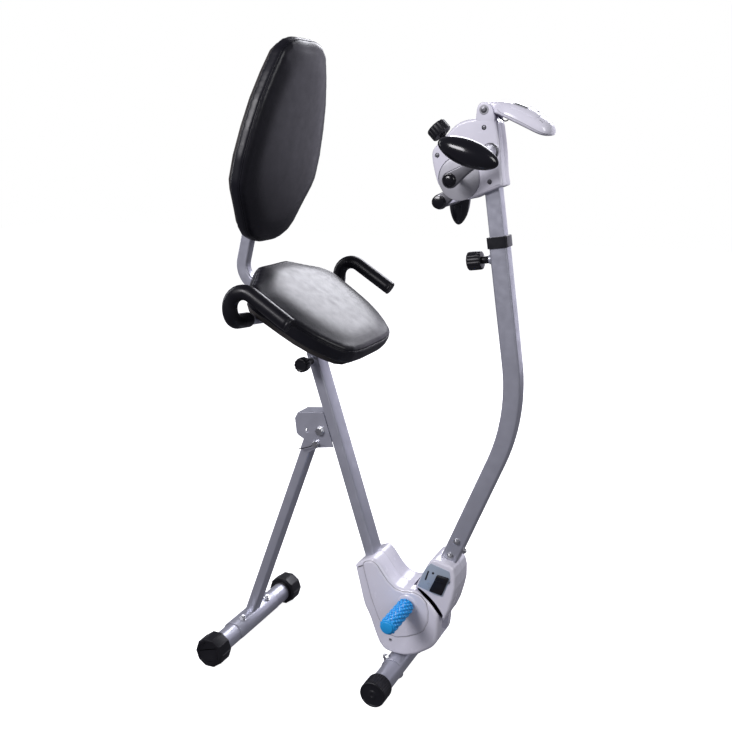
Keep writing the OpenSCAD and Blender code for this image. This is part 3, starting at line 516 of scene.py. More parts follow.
def bend(c, r, a0, a1, steps, out=1):
    """Stations of a strut along an arc of the side plane."""
    line = []
    for i in range(steps + 1):
        a = a0 + (a1 - a0) * i / steps
        line.append((polar(c, r, a), (out * cos(radians(a)), out * sin(radians(a)))))
    return line


def carried(node, slot, look=None, bevel=0.0):
    """A CAD node that stays, with its material and softened edges."""
    obj = NODES[node]
    obj.data.materials.clear()
    obj.data.materials.append(LOOKS[look or slot])
    for p in obj.data.polygons:
        p.material_index = 0
    if bevel:
        modify(obj, "WELD", merge_threshold=0.02 * MM)
        soft_edges(obj, bevel, 2, 40)
    return obj


# ---------------------------------------------------------------- frame: tubes and feet


def saddle(c, lean, half):
    arc = [polar(c, 28, 90 - lean + a) for a in range(-90, 91, 6)]
    arc += [polar(c, 25.1, 90 - lean + a) for a in range(90, -91, -6)]
    return Shape().slab(arc, -half, half, 0.9, 0.9, 3)


def saddle_nuts(shape, c, lean, ys):
    for y in ys:
        m = local(*c, lean) @ shift(0, y, 28)
        shape.turned([(0, -0.6), (9, -0.6), (9, 1.4), (8.4, 1.6), (0, 1.6)], m, 36)
        shape.hexagon(m @ shift(0, 0, 1.5), 13, 6)
        shape.turned([(0, 5), (4, 5), (4, 10.2), (3.4, 11), (0, 11)], m, 24)
        under = local(*c, lean) @ shift(0, y, -24.6) @ Matrix.Rotation(pi, 4, "X")
        shape.turned([(9, -0.5), (8.6, 1.4), (6.5, 3.0), (3.5, 3.9), (0, 4.2)], under, 36)
    return shape


tube = Shape().strut(straight(MAIN, 26, 775), 50, 25, 5.0, 1.5)
tube.make("main_tube_shell", "frame", "silver_paint", ["main_tube"])
saddle(FOOT, SADDLE_LEAN, 75).make("front_saddle", "frame", "silver_paint")
# weld bead: a rounded square round the tube's foot, slightly wavy
bead = []
for i in range(120):
    a = TAU * i / 120
    x, y = (max(-1, min(1, 1.45 * c)) for c in (cos(a), sin(a)))
    bead.append(MAIN @ Vector((12.2 * x, 24.7 * y, 27.0 + 1.4 * cos(3 * a))))
Shape().ring_pipe(bead, 2.6, 8).make("main_tube_weld", "frame", "silver_paint")
KNOB_UP = 758                                   # the seat knob's height along the main tube
nut = Shape().turned([(0, -0.5), (11.5, -0.5), (10.4, 1.4), (10, 2.0), (10, 6.9), (9.2, 7.9), (4.4, 8),
                      (4.4, 5)], MAIN @ along_y(0, -25, KNOB_UP, -1), 48)
nut.make("seat_weld_nut", "frame", "silver_paint")


def floor_tube(c, end):
    """Round tube across the floor, open at both ends, from -end to end."""
    profile = [(22.5, -end), (24.4, -end), (25, -end + 0.7), (25, end - 0.7), (24.4, end), (22.5, end)]
    return Shape().turned(profile, along_y(c[0], 0, c[1]), 96)


floor_tube(FOOT, 143.7).make("front_floor_tube", "frame", "silver_paint", ["front_foot_tube"])
floor_tube(REAR, 195).make("rear_floor_tube", "rear_leg", "silver_paint", ["rear_foot_tube"])
saddle_nuts(Shape(), FOOT, SADDLE_LEAN, (-62, 62)).make("front_saddle_nuts", "frame", "zinc")
nuts = saddle_nuts(Shape(), REAR, LEG_LEAN, (-60, 60))
nuts.make("rear_saddle_nuts", "rear_leg", "zinc", ["leg_fasteners"])

LEG_TOP = (LEG.inverted() @ Vector((PIVOT[0], 0, PIVOT[1]))).z + 4
tube = Shape().strut(straight(LEG, 22, LEG_TOP), 38, 25, 4.5, 1.5)
tube.make("leg_tube_shell", "rear_leg", "silver_paint", ["leg_tube"])
saddle(REAR, LEG_LEAN, 92).make("rear_saddle", "rear_leg", "silver_paint")

# fold bracket and its bolt
carried("fold_bracket", "silver_paint", bevel=0.7)
carried("leg_head", "silver_paint", bevel=0.7)
carried("base_bracket", "silver_paint", bevel=0.6)
bolts = Shape()
for p, d, y in ((PIVOT, 12, 25.5), (SWING, 10, 28)):
    for way in (-1, 1):
        m = along_y(p[0], way * y, p[1], way)
        bolts.turned([(0, -0.4), (0.95 * d, -0.4), (0.95 * d, 0.9), (0.9 * d, 1.2), (0, 1.2)], m, 40)
        bolts.hexagon(m @ shift(0, 0, 1.0), 1.55 * d, 0.55 * d)
    bolts.turned([(d / 2, -y), (d / 2, y)], along_y(p[0], 0, p[1]), 32)
    bolts.turned([(d / 2, 0), (d / 2, 0.72 * d), (d / 2 - 0.8, 0.8 * d), (0, 0.8 * d)],
                 along_y(p[0], y, p[1], 1), 32)
bolts.make("pivot_bolt_set", "frame", "zinc", ["pivot_bolts"])

LOCK = polar(PIVOT, 35, -107)
pin = Shape().turned([(0, -30), (4.2, -30), (5, -29), (5, 24.6), (8.5, 25.0), (8.5, 33), (7.6, 34), (0, 34)],
                     along_y(LOCK[0], 0, LOCK[1], -1), 40)
pin.make("lock_pin_body", "lock_pin", "zinc", ["lock_pin"])
wire = [(-150, -31, 547), (-155, -31.6, 544.2), (-160, -32, 542), (-165, -32, 540), (-170, -32, 538),
        (-180, -32, 535), (-188, -31, 534)]
Shape().pipe(wire, 1.2, 12).make("lock_pin_wire", "lock_pin", "black_plastic", ["pin_pull_wire"])

# ---------------------------------------------------------------- floor caps and wheels


def wheel_shape(side):
    """Ribbed cap on the front floor tube: a dished face in a rim, fine ribs round it."""
    ribs, per = 36, 6
    prof = [(25.2, 0.4, 0), (28.5, 0, 0), (30.3, 1.0, 0), (31, 3, 0.3), (31, 5, 1), (31, 40, 1),
            (31, 42, 0.3), (30.4, 43.8, 0), (28.8, 44.8, 0), (27.2, 45, 0), (26.2, 44.4, 0),
            (25.6, 43.5, 0), (12, 43.0, 0), (11, 43.4, 0), (10, 44.6, 0), (5, 44.9, 0), (4.4, 44.2, 0),
            (0.02, 44, 0)]
    rings = []
    for r, h, share in prof:
        ring = []
        for i in range(ribs * per):
            a = TAU * i / (ribs * per)
            q = r - share * (0.5 - 0.5 * cos(ribs * a)) ** 1.5
            ring.append((q * cos(a), q * sin(a), h))
        rings.append(ring)
    return Shape().loft(rings, along_y(FOOT[0], side * 144, FOOT[1], side))


def decagon(c, apothem, r, n=4):
    return fillet([polar(c, apothem / cos(pi / 10), 36 * i) for i in range(10)], r, n)


def floor_cap(side):
    """Ten-sided levelling cap with a recessed face, and the collar behind it."""
    c = (REAR[0], REAR[1] + 1)
    body = decagon(c, 36, 5)
    steps = [(157, 3.0), (157.4, 1.2), (158.6, 0), (198.4, 0), (200.6, 0.9), (201.7, 2.6), (202, 5),
             (201.4, 7), (199.4, 7.8), (199, 9.5)]
    rings = [[(x, side * y, z) for x, z in inset(body, d)] for y, d in steps]
    s = Shape().loft(rings)
    for a in range(0, 360, 36):
        p = polar(c, 35.6 / cos(pi / 10), a)
        s.pipe([(p[0], side * y, p[1]) for y in (160, 197)], 1.3, 10)
    m = along_y(REAR[0], side * 151, REAR[1], side)
    s.turned([(25.3, 0), (27.2, 0), (28, 0.8), (28, 2.4), (27.4, 3.1), (26.6, 3.3), (26.6, 7), (25.3, 7)],
             m, 72)
    return s


for side, word in SIDES:
    wheel_shape(side).make("ribbed_wheel_" + word, "front_wheel_" + word, "black_plastic",
                           ["front_wheel_cap_" + word], sharp=50)
    floor_cap(side).make("levelling_cap_" + word, "rear_cap_" + word, "black_plastic",
                         ["rear_cap_" + word], sharp=30)

# ---------------------------------------------------------------- foot rollers
axle = Shape().turned([(6, -172), (6, 172)], along_y(ROLLER[0], 0, ROLLER[1]), 32)
ends = Shape()
for side in (-1, 1):
    m = along_y(ROLLER[0], side * 172.5, ROLLER[1], side)
    ends.turned([(0, 0), (14.6, 0), (14.6, 1.6), (13.9, 2.8), (12.6, 3.4), (0, 3.5)], m, 48)
    m = along_y(ROLLER[0], side * 28, ROLLER[1], side)
    axle.turned([(6, 0), (10, 0), (10, 30.8), (9.2, 31.6), (6, 31.6)], m, 40)
axle.make("roller_axle", "frame", "zinc", ["foot_roller_axle"])
ends.make("roller_axle_caps", "frame", "blue_plastic")


def massage_roller(side):
    """Soft roller with staggered blunt knobs all round."""
    y0, y1, r = 60, 172, 16.2
    m = along_y(ROLLER[0], 0, ROLLER[1], side)
    s = Shape().turned([(6, y0), (14.5, y0), (16.9, y0 + 0.6), (17.6, y0 + 2), (17.6, y0 + 3), (r, y0 + 4),
                        (r, y1 - 4), (17.6, y1 - 3), (17.6, y1 - 1.6), (16.8, y1 - 0.4), (15, y1), (6, y1)],
                       m, 64)
    rows, around = 10, 12
    for j in range(rows):
        y = y0 + 7.5 + (y1 - y0 - 15) * j / (rows - 1)
        for i in range(around):
            a = TAU * (i + 0.5 * (j % 2)) / around
            f = m @ Matrix.Rotation(a, 4, "Z") @ shift(r - 0.5, 0, y) @ Matrix.Rotation(pi / 2, 4, "Y")
            rings = []
            for q, h in ((3.4, 0), (3.2, 2.6), (2.6, 4.0), (1.2, 4.5)):
                rings.append([(1.1 * q * cos(TAU * k / 10), q * sin(TAU * k / 10), h) for k in range(10)])
            s.loft(rings, f)
    return s


for side, word in SIDES:
    massage_roller(side).make("massage_roller_" + word, "foot_roller_" + word, "blue_plastic",
                              ["foot_roller_" + word], sharp=50)

# ---------------------------------------------------------------- base housing
BASE = [(-31, 270), (-30, 265), (-18, 215), (-8, 173), (7, 145), (21, 106), (32, 80), (46, 65), (62, 61),
        (98, 60), (126, 70), (150, 85), (168, 99), (178, 114), (181, 138), (182, 160)]
BASE += [polar(SWING, 128, a) for a in range(30, 69, 4)]
BASE += [(108, 237), (92, 233), (74, 237), (58, 250), (46, 265), (35, 280), (25, 291), (15, 297), (-15, 284)]
SIDE_PANEL = [(-10, 283), (-2, 250), (13, 196), (31, 150), (47, 122), (62, 110), (78, 107), (104, 114),
              (129, 126), (146, 139), (157, 165), (158, 190), (152, 212), (138, 226), (120, 231),
              (94, 227), (73, 231), (54, 246), (40, 264), (28, 281), (14, 290)]
BASE_SCREWS = ((3, 263), (63, 95))


def side_cylinder(p, r, y0, y1, n=32):
    return Shape().turned([(r, y0), (r, y1)], along_y(p[0], 0, p[1]), n)


def slot_cutter():
    far = [(SWING[0] + x, SWING[1] + z) for x, z in ((60, -2), (190, -12), (190, 60))]
    return Shape().slab(far + [polar(SWING, 190, 72), polar(SWING, 100, 72), (SWING[0] + 70, SWING[1] + 50)],
                        -24, 24, 0.01, 0.01, 1)


def base_half(side, word):
    shell = Shape().half_slab(soften(BASE), side, 0.15, 52, 0.7, 9)
    obj = shell.make("base_housing_" + word, "frame", "white_plastic", ["base_shell_" + word])
    cuts = [slot_cutter()]
    cuts += [side_cylinder(p, 4.6, *sorted((side * 47.5, side * 53))) for p in BASE_SCREWS]
    cut(obj, cuts)
    panel = Shape().half_slab(fillet(SIDE_PANEL, 16, 5), side, 50, 54.2, 0.01, 3.6)
    panel.make("base_side_panel_" + word, "frame", "white_plastic")
    rim = fillet(inset(SIDE_PANEL, -0.7), 16, 5)
    joint = Shape().ring_pipe([(x, side * 51.7, z) for x, z in rim], 0.7, 8)
    joint.make("base_panel_joint_" + word, "frame", "button_grey")
    collar = Shape().turned([(11, 0), (25, 0), (23.5, 1.4), (21.5, 2.6), (18, 3.2), (12.4, 3.4), (11, 2.8)],
                            along_y(ROLLER[0], side * 53.8, ROLLER[1], side), 64)
    collar.make("roller_boss_" + word, "frame", "white_plastic")


for side, word in SIDES:
    base_half(side, word)
screws = Shape()
for side in (-1, 1):
    for p in BASE_SCREWS:
        m = along_y(p[0], side * 48, p[1], side)
        screws.turned([(4.3, -0.5), (4.3, 0.6), (3.6, 1.5), (2.2, 2.0), (1.4, 2.1), (1.2, 0.9), (0, 0.9)],
                      m, 32)
screws.make("base_screws", "frame", "machine_steel", ["base_fasteners"])

# ---------------------------------------------------------------- mast
BEND_R = 440
TAN = BEND_R * math.tan(radians((MAST_LEAN - UPPER_LEAN) / 2))
BEND_C = to_side(MAST, -BEND_R, MAST_RUN - TAN)
line = straight(MAST, 297, MAST_RUN - TAN)[:1] + bend(BEND_C, BEND_R, -MAST_LEAN, -UPPER_LEAN, 26)
line += straight(UPPER, 371, 372)[1:]
Shape().strut(line, 38, 38, 5.0, 1.5).make("mast_tube_shell", "mast", "silver_paint", ["mast_tube"])
tube = Shape().strut(straight(UPPER, 165, 625), 32, 32, 2.4, 2)
tube.make("upper_tube_shell", "upper_mast", "silver_paint", ["upper_mast_tube"])

MAST_KNOB_UP = 346
nut = Shape().turned([(0, -0.5), (11.4, -0.5), (10.2, 1.3), (10, 2), (10, 6.2), (9.3, 7), (4.2, 7)],
                     UPPER @ shift(-19, 0, MAST_KNOB_UP) @ turn_y(-90), 48)
nut.make("mast_weld_nut", "mast", "silver_paint")

sleeve = Shape().strut(straight(UPPER, 369, 393), 44, 44, 5.0, 5.9)
sleeve.make("mast_sleeve_cap", "mast", "black_plastic", ["mast_sleeve"], bevel=1.0)
carried("mast_foot_bracket", "machine_steel", bevel=0.5)

bolts = Shape()
for s in (317, 358):
    for way in (-1, 1):
        m = MAST @ along_y(0, way * 19, s, way)
        bolts.turned([(0, -0.2), (8.2, -0.2), (8.2, 1.0), (7.6, 1.3), (0, 1.3)], m, 36)
        bolts.hexagon(m @ shift(0, 0, 1.1), 12.6, 4.6)
        bolts.turned([(3.9, 3), (3.9, 6.6), (3.2, 7.3), (0, 7.3)], m, 24)
m = MAST @ shift(19, 0, 336) @ turn_y(90)
bolts.turned([(0, -0.2), (8.4, -0.2), (8.4, 1.0), (7.6, 1.4), (0, 1.4)], m, 36)
bolts.hexagon(m @ shift(0, 0, 1.2), 12.6, 4.8)
bolts.turned([(3.9, 3), (3.9, 7.2), (3.2, 8), (0, 8)], m, 24)
COVER_BOSSES = ((26, 270), (-25, 262))
for p in COVER_BOSSES:
    q = to_side(MAST, *p)
    bolts.turned([(3.6, -2), (3.6, 0.4), (3.0, 1.1), (1.2, 1.4), (1.0, 0.5), (0, 0.5)],
                 along_y(q[0], -43.2, q[1], -1), 24)
bolts.make("mast_bolts", "mast", "zinc", ["mast_fasteners"])

COVER = [polar(SWING, 131, a) for a in range(24, 69, 4)]
COVER += [(122, 244), (141, 285), (150, 303), (158, 316), (168, 320), (205, 312), (214, 304), (219, 285),
          (219, 255), (214, 230), (206, 200), (195, 174)]
for side, word in SIDES:
    shell = Shape().half_slab(fillet(COVER, 12, 5), side, 0.15, 45, 0.6, 7)
    obj = shell.make("mast_cover_shell_" + word, "mast", "white_plastic", ["mast_cover_" + word])
    ys = sorted((side * 42, side * 46))
    cut(obj, [side_cylinder(to_side(MAST, *p), 4.2, *ys) for p in COVER_BOSSES])
plate_in = [(127, 247), (141, 282), (151, 300), (160, 310), (206, 298), (208, 282), (190, 232), (170, 234),
            (150, 241)]
plate = Shape().slab(fillet(plate_in, 4, 3), -46.0, -43, 0.6, 0.1, 3)
plate.make("latch_plate", "mast", "button_grey", look="latch_panel")
mark = Shape()
mark.slab(circle((166, 287), 3.0, 28), -46.5, -45.5, 0.3, 0.05, 2)
mark.slab(fillet([(153, 291), (156.5, 290), (149, 266), (145.5, 267)], 1, 2), -46.5, -45.5, 0.2, 0.05, 2)
mark.make("latch_marks", "mast", "black_plastic", look="moulded_mark")

LATCH = [(177, 286), (206, 283), (188, 236), (157, 241)]
slide = Shape().slab(fillet(LATCH, 3, 3), -49, -46.4, 1.2, 0.2, 4)
slide.slab(fillet([(177, 286), (206, 283), (201, 270), (171, 272)], 3, 3), -53, -48.5, 1.6, 0.2, 4)
at_pin = to_side(MAST, -6, 240)
slide.turned([(0, 3.5), (4, 3.5), (4, 8), (0, 8)], along_y(at_pin[0], -48.5, at_pin[1], 1), 24)
slide.make("latch_slide", "latch", "black_plastic", ["latch_slider"])


def clamp_knob(m, d, high, flutes, stem, deep=1.5):
    """Moulded knob with rounded lobes, a dished face and its stem."""
    per = 8
    r = d / 2
    prof = [(r * 0.62, 0, 0), (r - 1.6, 0.2, 0.4), (r - 0.4, 1.4, 1), (r, 3, 1), (r, high - 4, 1),
            (r - 0.5, high - 1.8, 1), (r - 1.8, high - 0.5, 0.6), (r - 3.4, high, 0.2),
            (r - 4.8, high - 0.1, 0), (r - 5.6, high - 1.2, 0), (r - 6.6, high - 1.4, 0),
            (r * 0.3, high - 1.1, 0), (0.02, high - 1.0, 0)]
    rings = []
    for q, h, share in prof:
        ring = []
        for i in range(flutes * per):
            a = TAU * i / (flutes * per)
            w = q - share * deep * max(0.0, cos(flutes * a)) ** 1.6
            ring.append((w * cos(a), w * sin(a), h))
        rings.append(ring)
    s = Shape().loft(rings, m)
    s.turned([(0, -stem), (7.2, -stem), (8, -stem + 0.8), (8, -0.3), (9.5, 0.6), (0, 0.6)], m, 40)
    return s


behind = UPPER @ shift(-42, 0, MAST_KNOB_UP)
knob = clamp_knob(behind @ turn_y(-90), 40, 31, 12, 15.6)
knob.turned([(0, 0), (4, 0), (4, 24), (3.2, 25), (0, 25)], behind @ turn_y(90), 20)
knob.make("mast_clamp_knob", "mast_knob", "black_plastic", ["mast_knob"], sharp=50)
knob = clamp_knob(MAIN @ along_y(0, -63, KNOB_UP, -1), 34, 22, 12, 29.6)
knob.turned([(0, 0), (4, 0), (4, 40), (3.2, 40.5), (0, 40.5)], MAIN @ along_y(0, -63, KNOB_UP, 1), 20)
knob.make("seat_clamp_knob", "seat_knob", "black_plastic", ["seat_knob"], sharp=50)
TENSION = shift(156, 0, 1262) @ turn_y(-43.2)
knob = clamp_knob(TENSION @ shift(0, 0, 6), 45, 24, 12, 5, 1.8)
knob.turned([(3, -60), (3, 2)], TENSION, 20)
knob.make("tension_dial", "tension_knob", "black_plastic", ["tension_knob"], sharp=50)

# ---------------------------------------------------------------- head
HEAD = [(276, 1304), (236, 1299), (211, 1295), (196, 1289), (183, 1279), (173, 1267), (160, 1255),
        (149, 1245), (141, 1235), (139, 1225), (141, 1210), (146, 1188), (153, 1167), (162, 1153),
        (173, 1142), (187, 1135), (204, 1134), (226, 1135), (248, 1145), (289, 1162), (296, 1165),
        (291, 1186), (287, 1236)]
HEAD_SCREWS = ((252, 1280), (267, 1172), (152, 1224))


def head_half(side, word):
    shell = Shape().half_slab(soften(HEAD), side, 0.15, 30, 0.6, 6)
    obj = shell.make("head_housing_" + word, "upper_mast", "white_plastic", ["head_shell_" + word])
    recess = Shape().turned([(46, 27.4), (46, 31)], along_y(AXLE[0], 0, AXLE[1], side), 96)
    ys = sorted((side * 26.8, side * 31))
    cut(obj, [recess] + [side_cylinder(p, 5.2, *ys) for p in HEAD_SCREWS])
    ear = hull(circle(HINGE, 15.5, 60) + [(233, 1291), (274, 1291), (274, 1302)])
    ear = Shape().half_slab(ear, side, 23, 30.04, 1.0, 2.4, 5)
    ear.make("hinge_ear_" + word, "upper_mast", "white_plastic")
    disc = Shape().turned([(9, 26.6), (45.2, 26.6), (45.2, 27.6), (44.6, 28.4), (40, 28.9), (20, 29.4),
                           (12, 29.6), (9, 29.6)], along_y(AXLE[0], 0, AXLE[1], side), 96)
    disc.make("crank_disc_" + word, "upper_mast", "silver_metal", look="satin_disc")


for side, word in SIDES:
    head_half(side, word)
screws = Shape()
for side in (-1, 1):
    for p in HEAD_SCREWS:
        m = along_y(p[0], side * 27, p[1], side)
        screws.turned([(4.9, -0.6), (4.9, 0.5), (4.0, 1.3), (2.0, 1.7), (1.5, 1.7), (1.3, 0.6), (0, 0.6)],
                      m, 32)
    m = along_y(HINGE[0], side * 30, HINGE[1], side)
    screws.turned([(0, -0.2), (7, -0.2), (7, 0.8), (6.4, 1.2), (5.2, 1.3), (5.0, 2.1), (4.2, 2.5), (2.2, 2.5),
                   (1.9, 1.3), (0, 1.3)], m, 40)
screws.turned([(3, -30), (3, 30)], along_y(HINGE[0], 0, HINGE[1]), 24)
screws.make("head_screws", "upper_mast", "machine_steel", ["head_fasteners"], look="dark_metal")
washers = Shape()
for side in (-1, 1):
    washers.turned([(7.6, 29.6), (9.8, 29.6), (9.8, 30.6), (9.0, 31.0), (7.6, 31.0)],
                   along_y(HINGE[0], 0, HINGE[1], side), 40)
washers.make("hinge_washers", "upper_mast", "button_grey")
carried("crank_bearings", "machine_steel")
carried("brake_band", "machine_steel")
carried("crank_wheel", "machine_steel")
wire = [(274, 0, 1301), (277, 0, 1299), (281, 0, 1296), (286, 0, 1293), (291, 0, 1294), (293, 0, 1295.8),
        (295.5, 0, 1298.5)]


def smooth_path(points, per=6):
    """Catmull-Rom curve through points."""
    p = [Vector(q) for q in points]
    p = [2 * p[0] - p[1]] + p + [2 * p[-1] - p[-2]]
    out = []
    for i in range(1, len(p) - 2):
        for k in range(per):
            t = k / per
            out.append(0.5 * (2 * p[i] + (p[i + 1] - p[i - 1]) * t
                              + (2 * p[i - 1] - 5 * p[i] + 4 * p[i + 1] - p[i + 2]) * t ** 2
                              + (3 * p[i] - p[i - 1] - 3 * p[i + 1] + p[i + 2]) * t ** 3))
    return out + [p[-2]]


Shape().pipe(smooth_path(wire), 1.3, 12).make("sensor_lead", "upper_mast", "black_plastic", ["sensor_wire"])

# ---------------------------------------------------------------- crank and hand grips
RIGHT = polar(AXLE, 100, 34.5)
LEFT = polar(AXLE, 100, 214.5)
carried("crank_axle", "machine_steel")
arms, caps = Shape(), Shape()
for side, p in ((-1, RIGHT), (1, LEFT)):
    waist = []
    d = Vector((p[0] - AXLE[0], p[1] - AXLE[1])).normalized()
    n = Vector((-d.y, d.x))
    for s in range(0, 101, 5):
        h = 17 - 6.5 * sin(pi * s / 100) ** 1.2
        waist.append((s, h))
    a0 = math.degrees(math.atan2(n.y, n.x))
    outline = [(AXLE[0] + d.x * s + n.x * h, AXLE[1] + d.y * s + n.y * h) for s, h in waist]
    outline += [polar(p, 17, a0 - a) for a in range(8, 180, 8)]
    outline += [(AXLE[0] + d.x * s - n.x * h, AXLE[1] + d.y * s - n.y * h) for s, h in waist[::-1]]
    outline += [polar(AXLE, 17, a0 + 180 - a) for a in range(8, 180, 8)]
    arms.slab(outline, *sorted((side * 76, side * 88)), 3.0, 3.0, 5)
    caps.turned([(0, 0), (14, 0), (14.2, 1.4), (13.4, 2.2), (12.2, 2.4), (11.6, 3.6), (9.6, 5.4), (6.5, 6.6),
                 (3, 7), (0, 7.1)], along_y(AXLE[0], side * 88, AXLE[1], side), 64)
    caps.turned([(0, 0), (11.5, 0), (14.4, 1.6), (15, 4), (15, 10), (0, 10)],
                along_y(p[0], side * 66, p[1], side), 56)
arms.make("crank_arm_pair", "crank", "silver_metal", ["crank_arms"], look="dark_metal", sharp=50)
caps.make("crank_cap_set", "crank", "gloss_black_plastic", ["crank_caps"])
carried("handle_spindles", "machine_steel")


def hand_grip(side, p, turn, word):
    neck = Shape().turned([(8, 90), (14.4, 90), (15, 91), (14.9, 93), (14.1, 96), (13.4, 120), (12.2, 160),
                           (11.1, 192), (10.8, 205)], along_y(p[0], 0, p[1], side), 64)
    neck.make("grip_neck_" + word, "handle_" + word, "silver_metal", ["handle_neck_" + word])
    m = shift(p[0], side * 218, p[1]) @ turn_y(turn)
    rings = []
    n = 72
    for t in range(-90, 91, 5):
        a = radians(t)
        z = 62.6 * sin(a)
        r = 25 * max(0.0, cos(a)) ** 1.12
        ring = []
        for i in range(n):
            b = TAU * i / n
            q = max(r, 0.05) + 0.35 * math.exp(-((sin(b) / 0.05) ** 2)) * min(1, r / 6)
            ring.append((q * cos(b), q * sin(b), z))
        rings.append(ring)
    s = Shape().loft(rings, m)
    s.make("hand_grip_shell_" + word, "handle_" + word, "gloss_black_plastic", ["hand_grip_" + word],
           sharp=60)


hand_grip(-1, RIGHT, 109, "right")
hand_grip(1, LEFT, 3, "left")

# ---------------------------------------------------------------- console
TOP = [(-13, 3), (-8, 12), (2, 18.5), (12, 24), (22, 29.5), (30, 33.5), (42, 36.8), (52, 38.4), (68, 40),
       (83, 40.6), (98, 39.6), (112, 37.4), (124, 34.6), (133, 31), (140, 25.6), (144, 19)]
LOW = [-3, -11.5, -12.6, -6, 0.5, 2.2, 2.6, 2.8, 2.9, 3, 3, 2.8, 3.2, 5, 8.6, 13]
WIDE = [22.4, 22.4, 22.4, 22.6, 25, 35, 42, 44, 45, 45, 44.6, 43.4, 41, 36.5, 29, 16]


def section(x):
    """Arched section of the pod at x: half width, centre height, rise, drop, squareness of side and top."""
    i = min(max(k for k, p in enumerate(TOP) if p[0] <= x), len(TOP) - 2)
    t = (x - TOP[i][0]) / (TOP[i + 1][0] - TOP[i][0])
    top, low, w = (a[i] + (a[i + 1] - a[i]) * t for a in ([p[1] for p in TOP], LOW, WIDE))
    grown = min(1.0, max(0.0, (x - 12) / 22))
    mid = (top + low) / 2 - (top - low) * 0.26 * grown
    return w, mid, top - mid, mid - low, 0.28 + 0.66 * grown, 0.4 + 0.6 * grown


def on_top(x, y=0.0):
    """Height of the pod's skin at x and y."""
    w, mid, rise, _, e, up = section(x)
    c = min(1.0, abs(y) / w) ** (1 / e)
    return mid + rise * math.sqrt(1 - c * c) ** up


def even(outline, step):
    """The closed outline as points an even step apart."""
    pts = [Vector(p) for p in outline]
    lengths = [(pts[(i + 1) % len(pts)] - p).length for i, p in enumerate(pts)]
    n = int(sum(lengths) / step)
    out, i, left = [], 0, 0.0
    for k in range(n):
        target = sum(lengths) * k / n
        while left + lengths[i] < target:
            left += lengths[i]
            i += 1
        t = (target - left) / max(lengths[i], 1e-9)
        out.append(tuple(pts[i].lerp(pts[(i + 1) % len(pts)], t)))
    return out


def console_shape():
    rings = []
    for x, _ in TOP:
        w, mid, rise, drop, e, up = section(x)
        ring = []
        for k in range(64):
            c, v = cos(TAU * k / 64), sin(TAU * k / 64)
            z = rise * v ** up if v > 0 else -drop * abs(v) ** 0.55
            ring.append((x, w * math.copysign(abs(c) ** e, c), mid + z))
        rings.append(ring)
    return Shape().loft(rings, CONSOLE)


obj = console_shape().make("console_pod", "console", "white_plastic", ["console_body"], sharp=80)
modify(obj, "SUBSURF", levels=1, render_levels=1)


def pad_on_top(x0, x1, y, lift, r):
    """A rounded plate that follows the arch of the console's top."""
    mid = (x0 + x1) / 2
    edge = even(fillet([(x0, -y), (x1, -y), (x1, y), (x0, y)], r, 5), 2.5)

    def ring(k, up):
        points = [(mid + (px - mid) * k, py * k) for px, py in edge]
        return [(px, py, on_top(px, py) + up) for px, py in points]

    k = 1 - 0.8 / y
    rings = [ring(1, -2.5), ring(1, lift - 0.4), ring(k, lift)]
    return Shape().loft(rings + [ring(q, lift) for q in (0.75, 0.5, 0.25, 0.02)], CONSOLE)


pad_on_top(44, 108, 36, 0.8, 12).make("console_panel", "console", "white_plastic")
pad_on_top(47, 79, 25.5, 1.4, 5).make("console_bezel", "console", "button_grey")
pad_on_top(50, 76, 22, 1.9, 2).make("console_screen", "console", "display", ["console_window"])
run = [(x, section(x)[0] + 0.1, section(x)[1]) for x in range(20, 144, 4)]
seam = run + [(x, -y, z) for x, y, z in reversed(run)]
Shape().ring_pipe([CONSOLE @ Vector(p) for p in seam], 0.5, 8).make("console_joint", "console", "button_grey")
dots = Shape()
for y in (-30, 30):
    for x in (114, 119):
        dots.turned([(0, -1), (1.4, -1), (1.4, 0.5), (1.1, 0.8), (0, 0.8)],
                    CONSOLE @ shift(x, y, on_top(x, y)), 20)
dots.make("console_dots", "console", "button_grey")
button = Shape()
bf = CONSOLE @ shift(94, 0, 0)
button.turned([(0, 32), (5, 32), (5, 40.4), (4.4, 41.2), (2.6, 41.8), (0, 42)], bf, 40)
button.make("console_push_button", "button", "button_grey", ["console_button"])
ring = Shape().turned([(5.3, 38.4), (7.4, 38.4), (7.2, 41.0), (6.3, 41.4), (5.4, 41.0)], bf, 48)
ring.make("console_button_ring", "console", "silver_metal")

# ---------------------------------------------------------------- seat unit: bars and boards
carried("seat_post", "silver_paint", bevel=0.6)
carried("seat_fasteners", "zinc", bevel=0.3)
SEAT_T, BOARD_T, BACK_T, BACK_BOARD = 42, 12, 34, 10
BAR_P, BAR_DEEP, BAR_R = -76, 28, 50
BAR_BEHIND = -BACK_T - BACK_BOARD - BAR_DEEP / 2
bar_start = to_side(SEAT, 0, BAR_P)
bar_line = to_side(BACK, BAR_BEHIND, 0)
a, b = radians(180 - PITCH), radians(90 - LEAN)
dx, dz = bar_line[0] - bar_start[0], bar_line[1] - bar_start[1]
corner = (dx * sin(b) - dz * cos(b)) / sin(b - a)
turn = 90 - PITCH + LEAN
centre = to_side(SEAT, -corner + BAR_R * math.tan(radians(turn / 2)), BAR_P + BAR_R)
down = SEAT.to_3x3() @ Vector((0, 0, -1))
face = BACK.to_3x3() @ Vector((-1, 0, 0))
line = [(to_side(SEAT, 50, BAR_P), (down.x, down.z))]
line += bend(centre, BAR_R, -90 - PITCH, -90 - PITCH - turn, 18)
line += [(to_side(BACK, BAR_BEHIND, 150), (face.x, face.z))]
tube = Shape().strut(line, 25, BAR_DEEP, 4.5, 1.5)
tube.make("back_bar_tube", "seat_unit", "silver_paint", ["back_bar"])


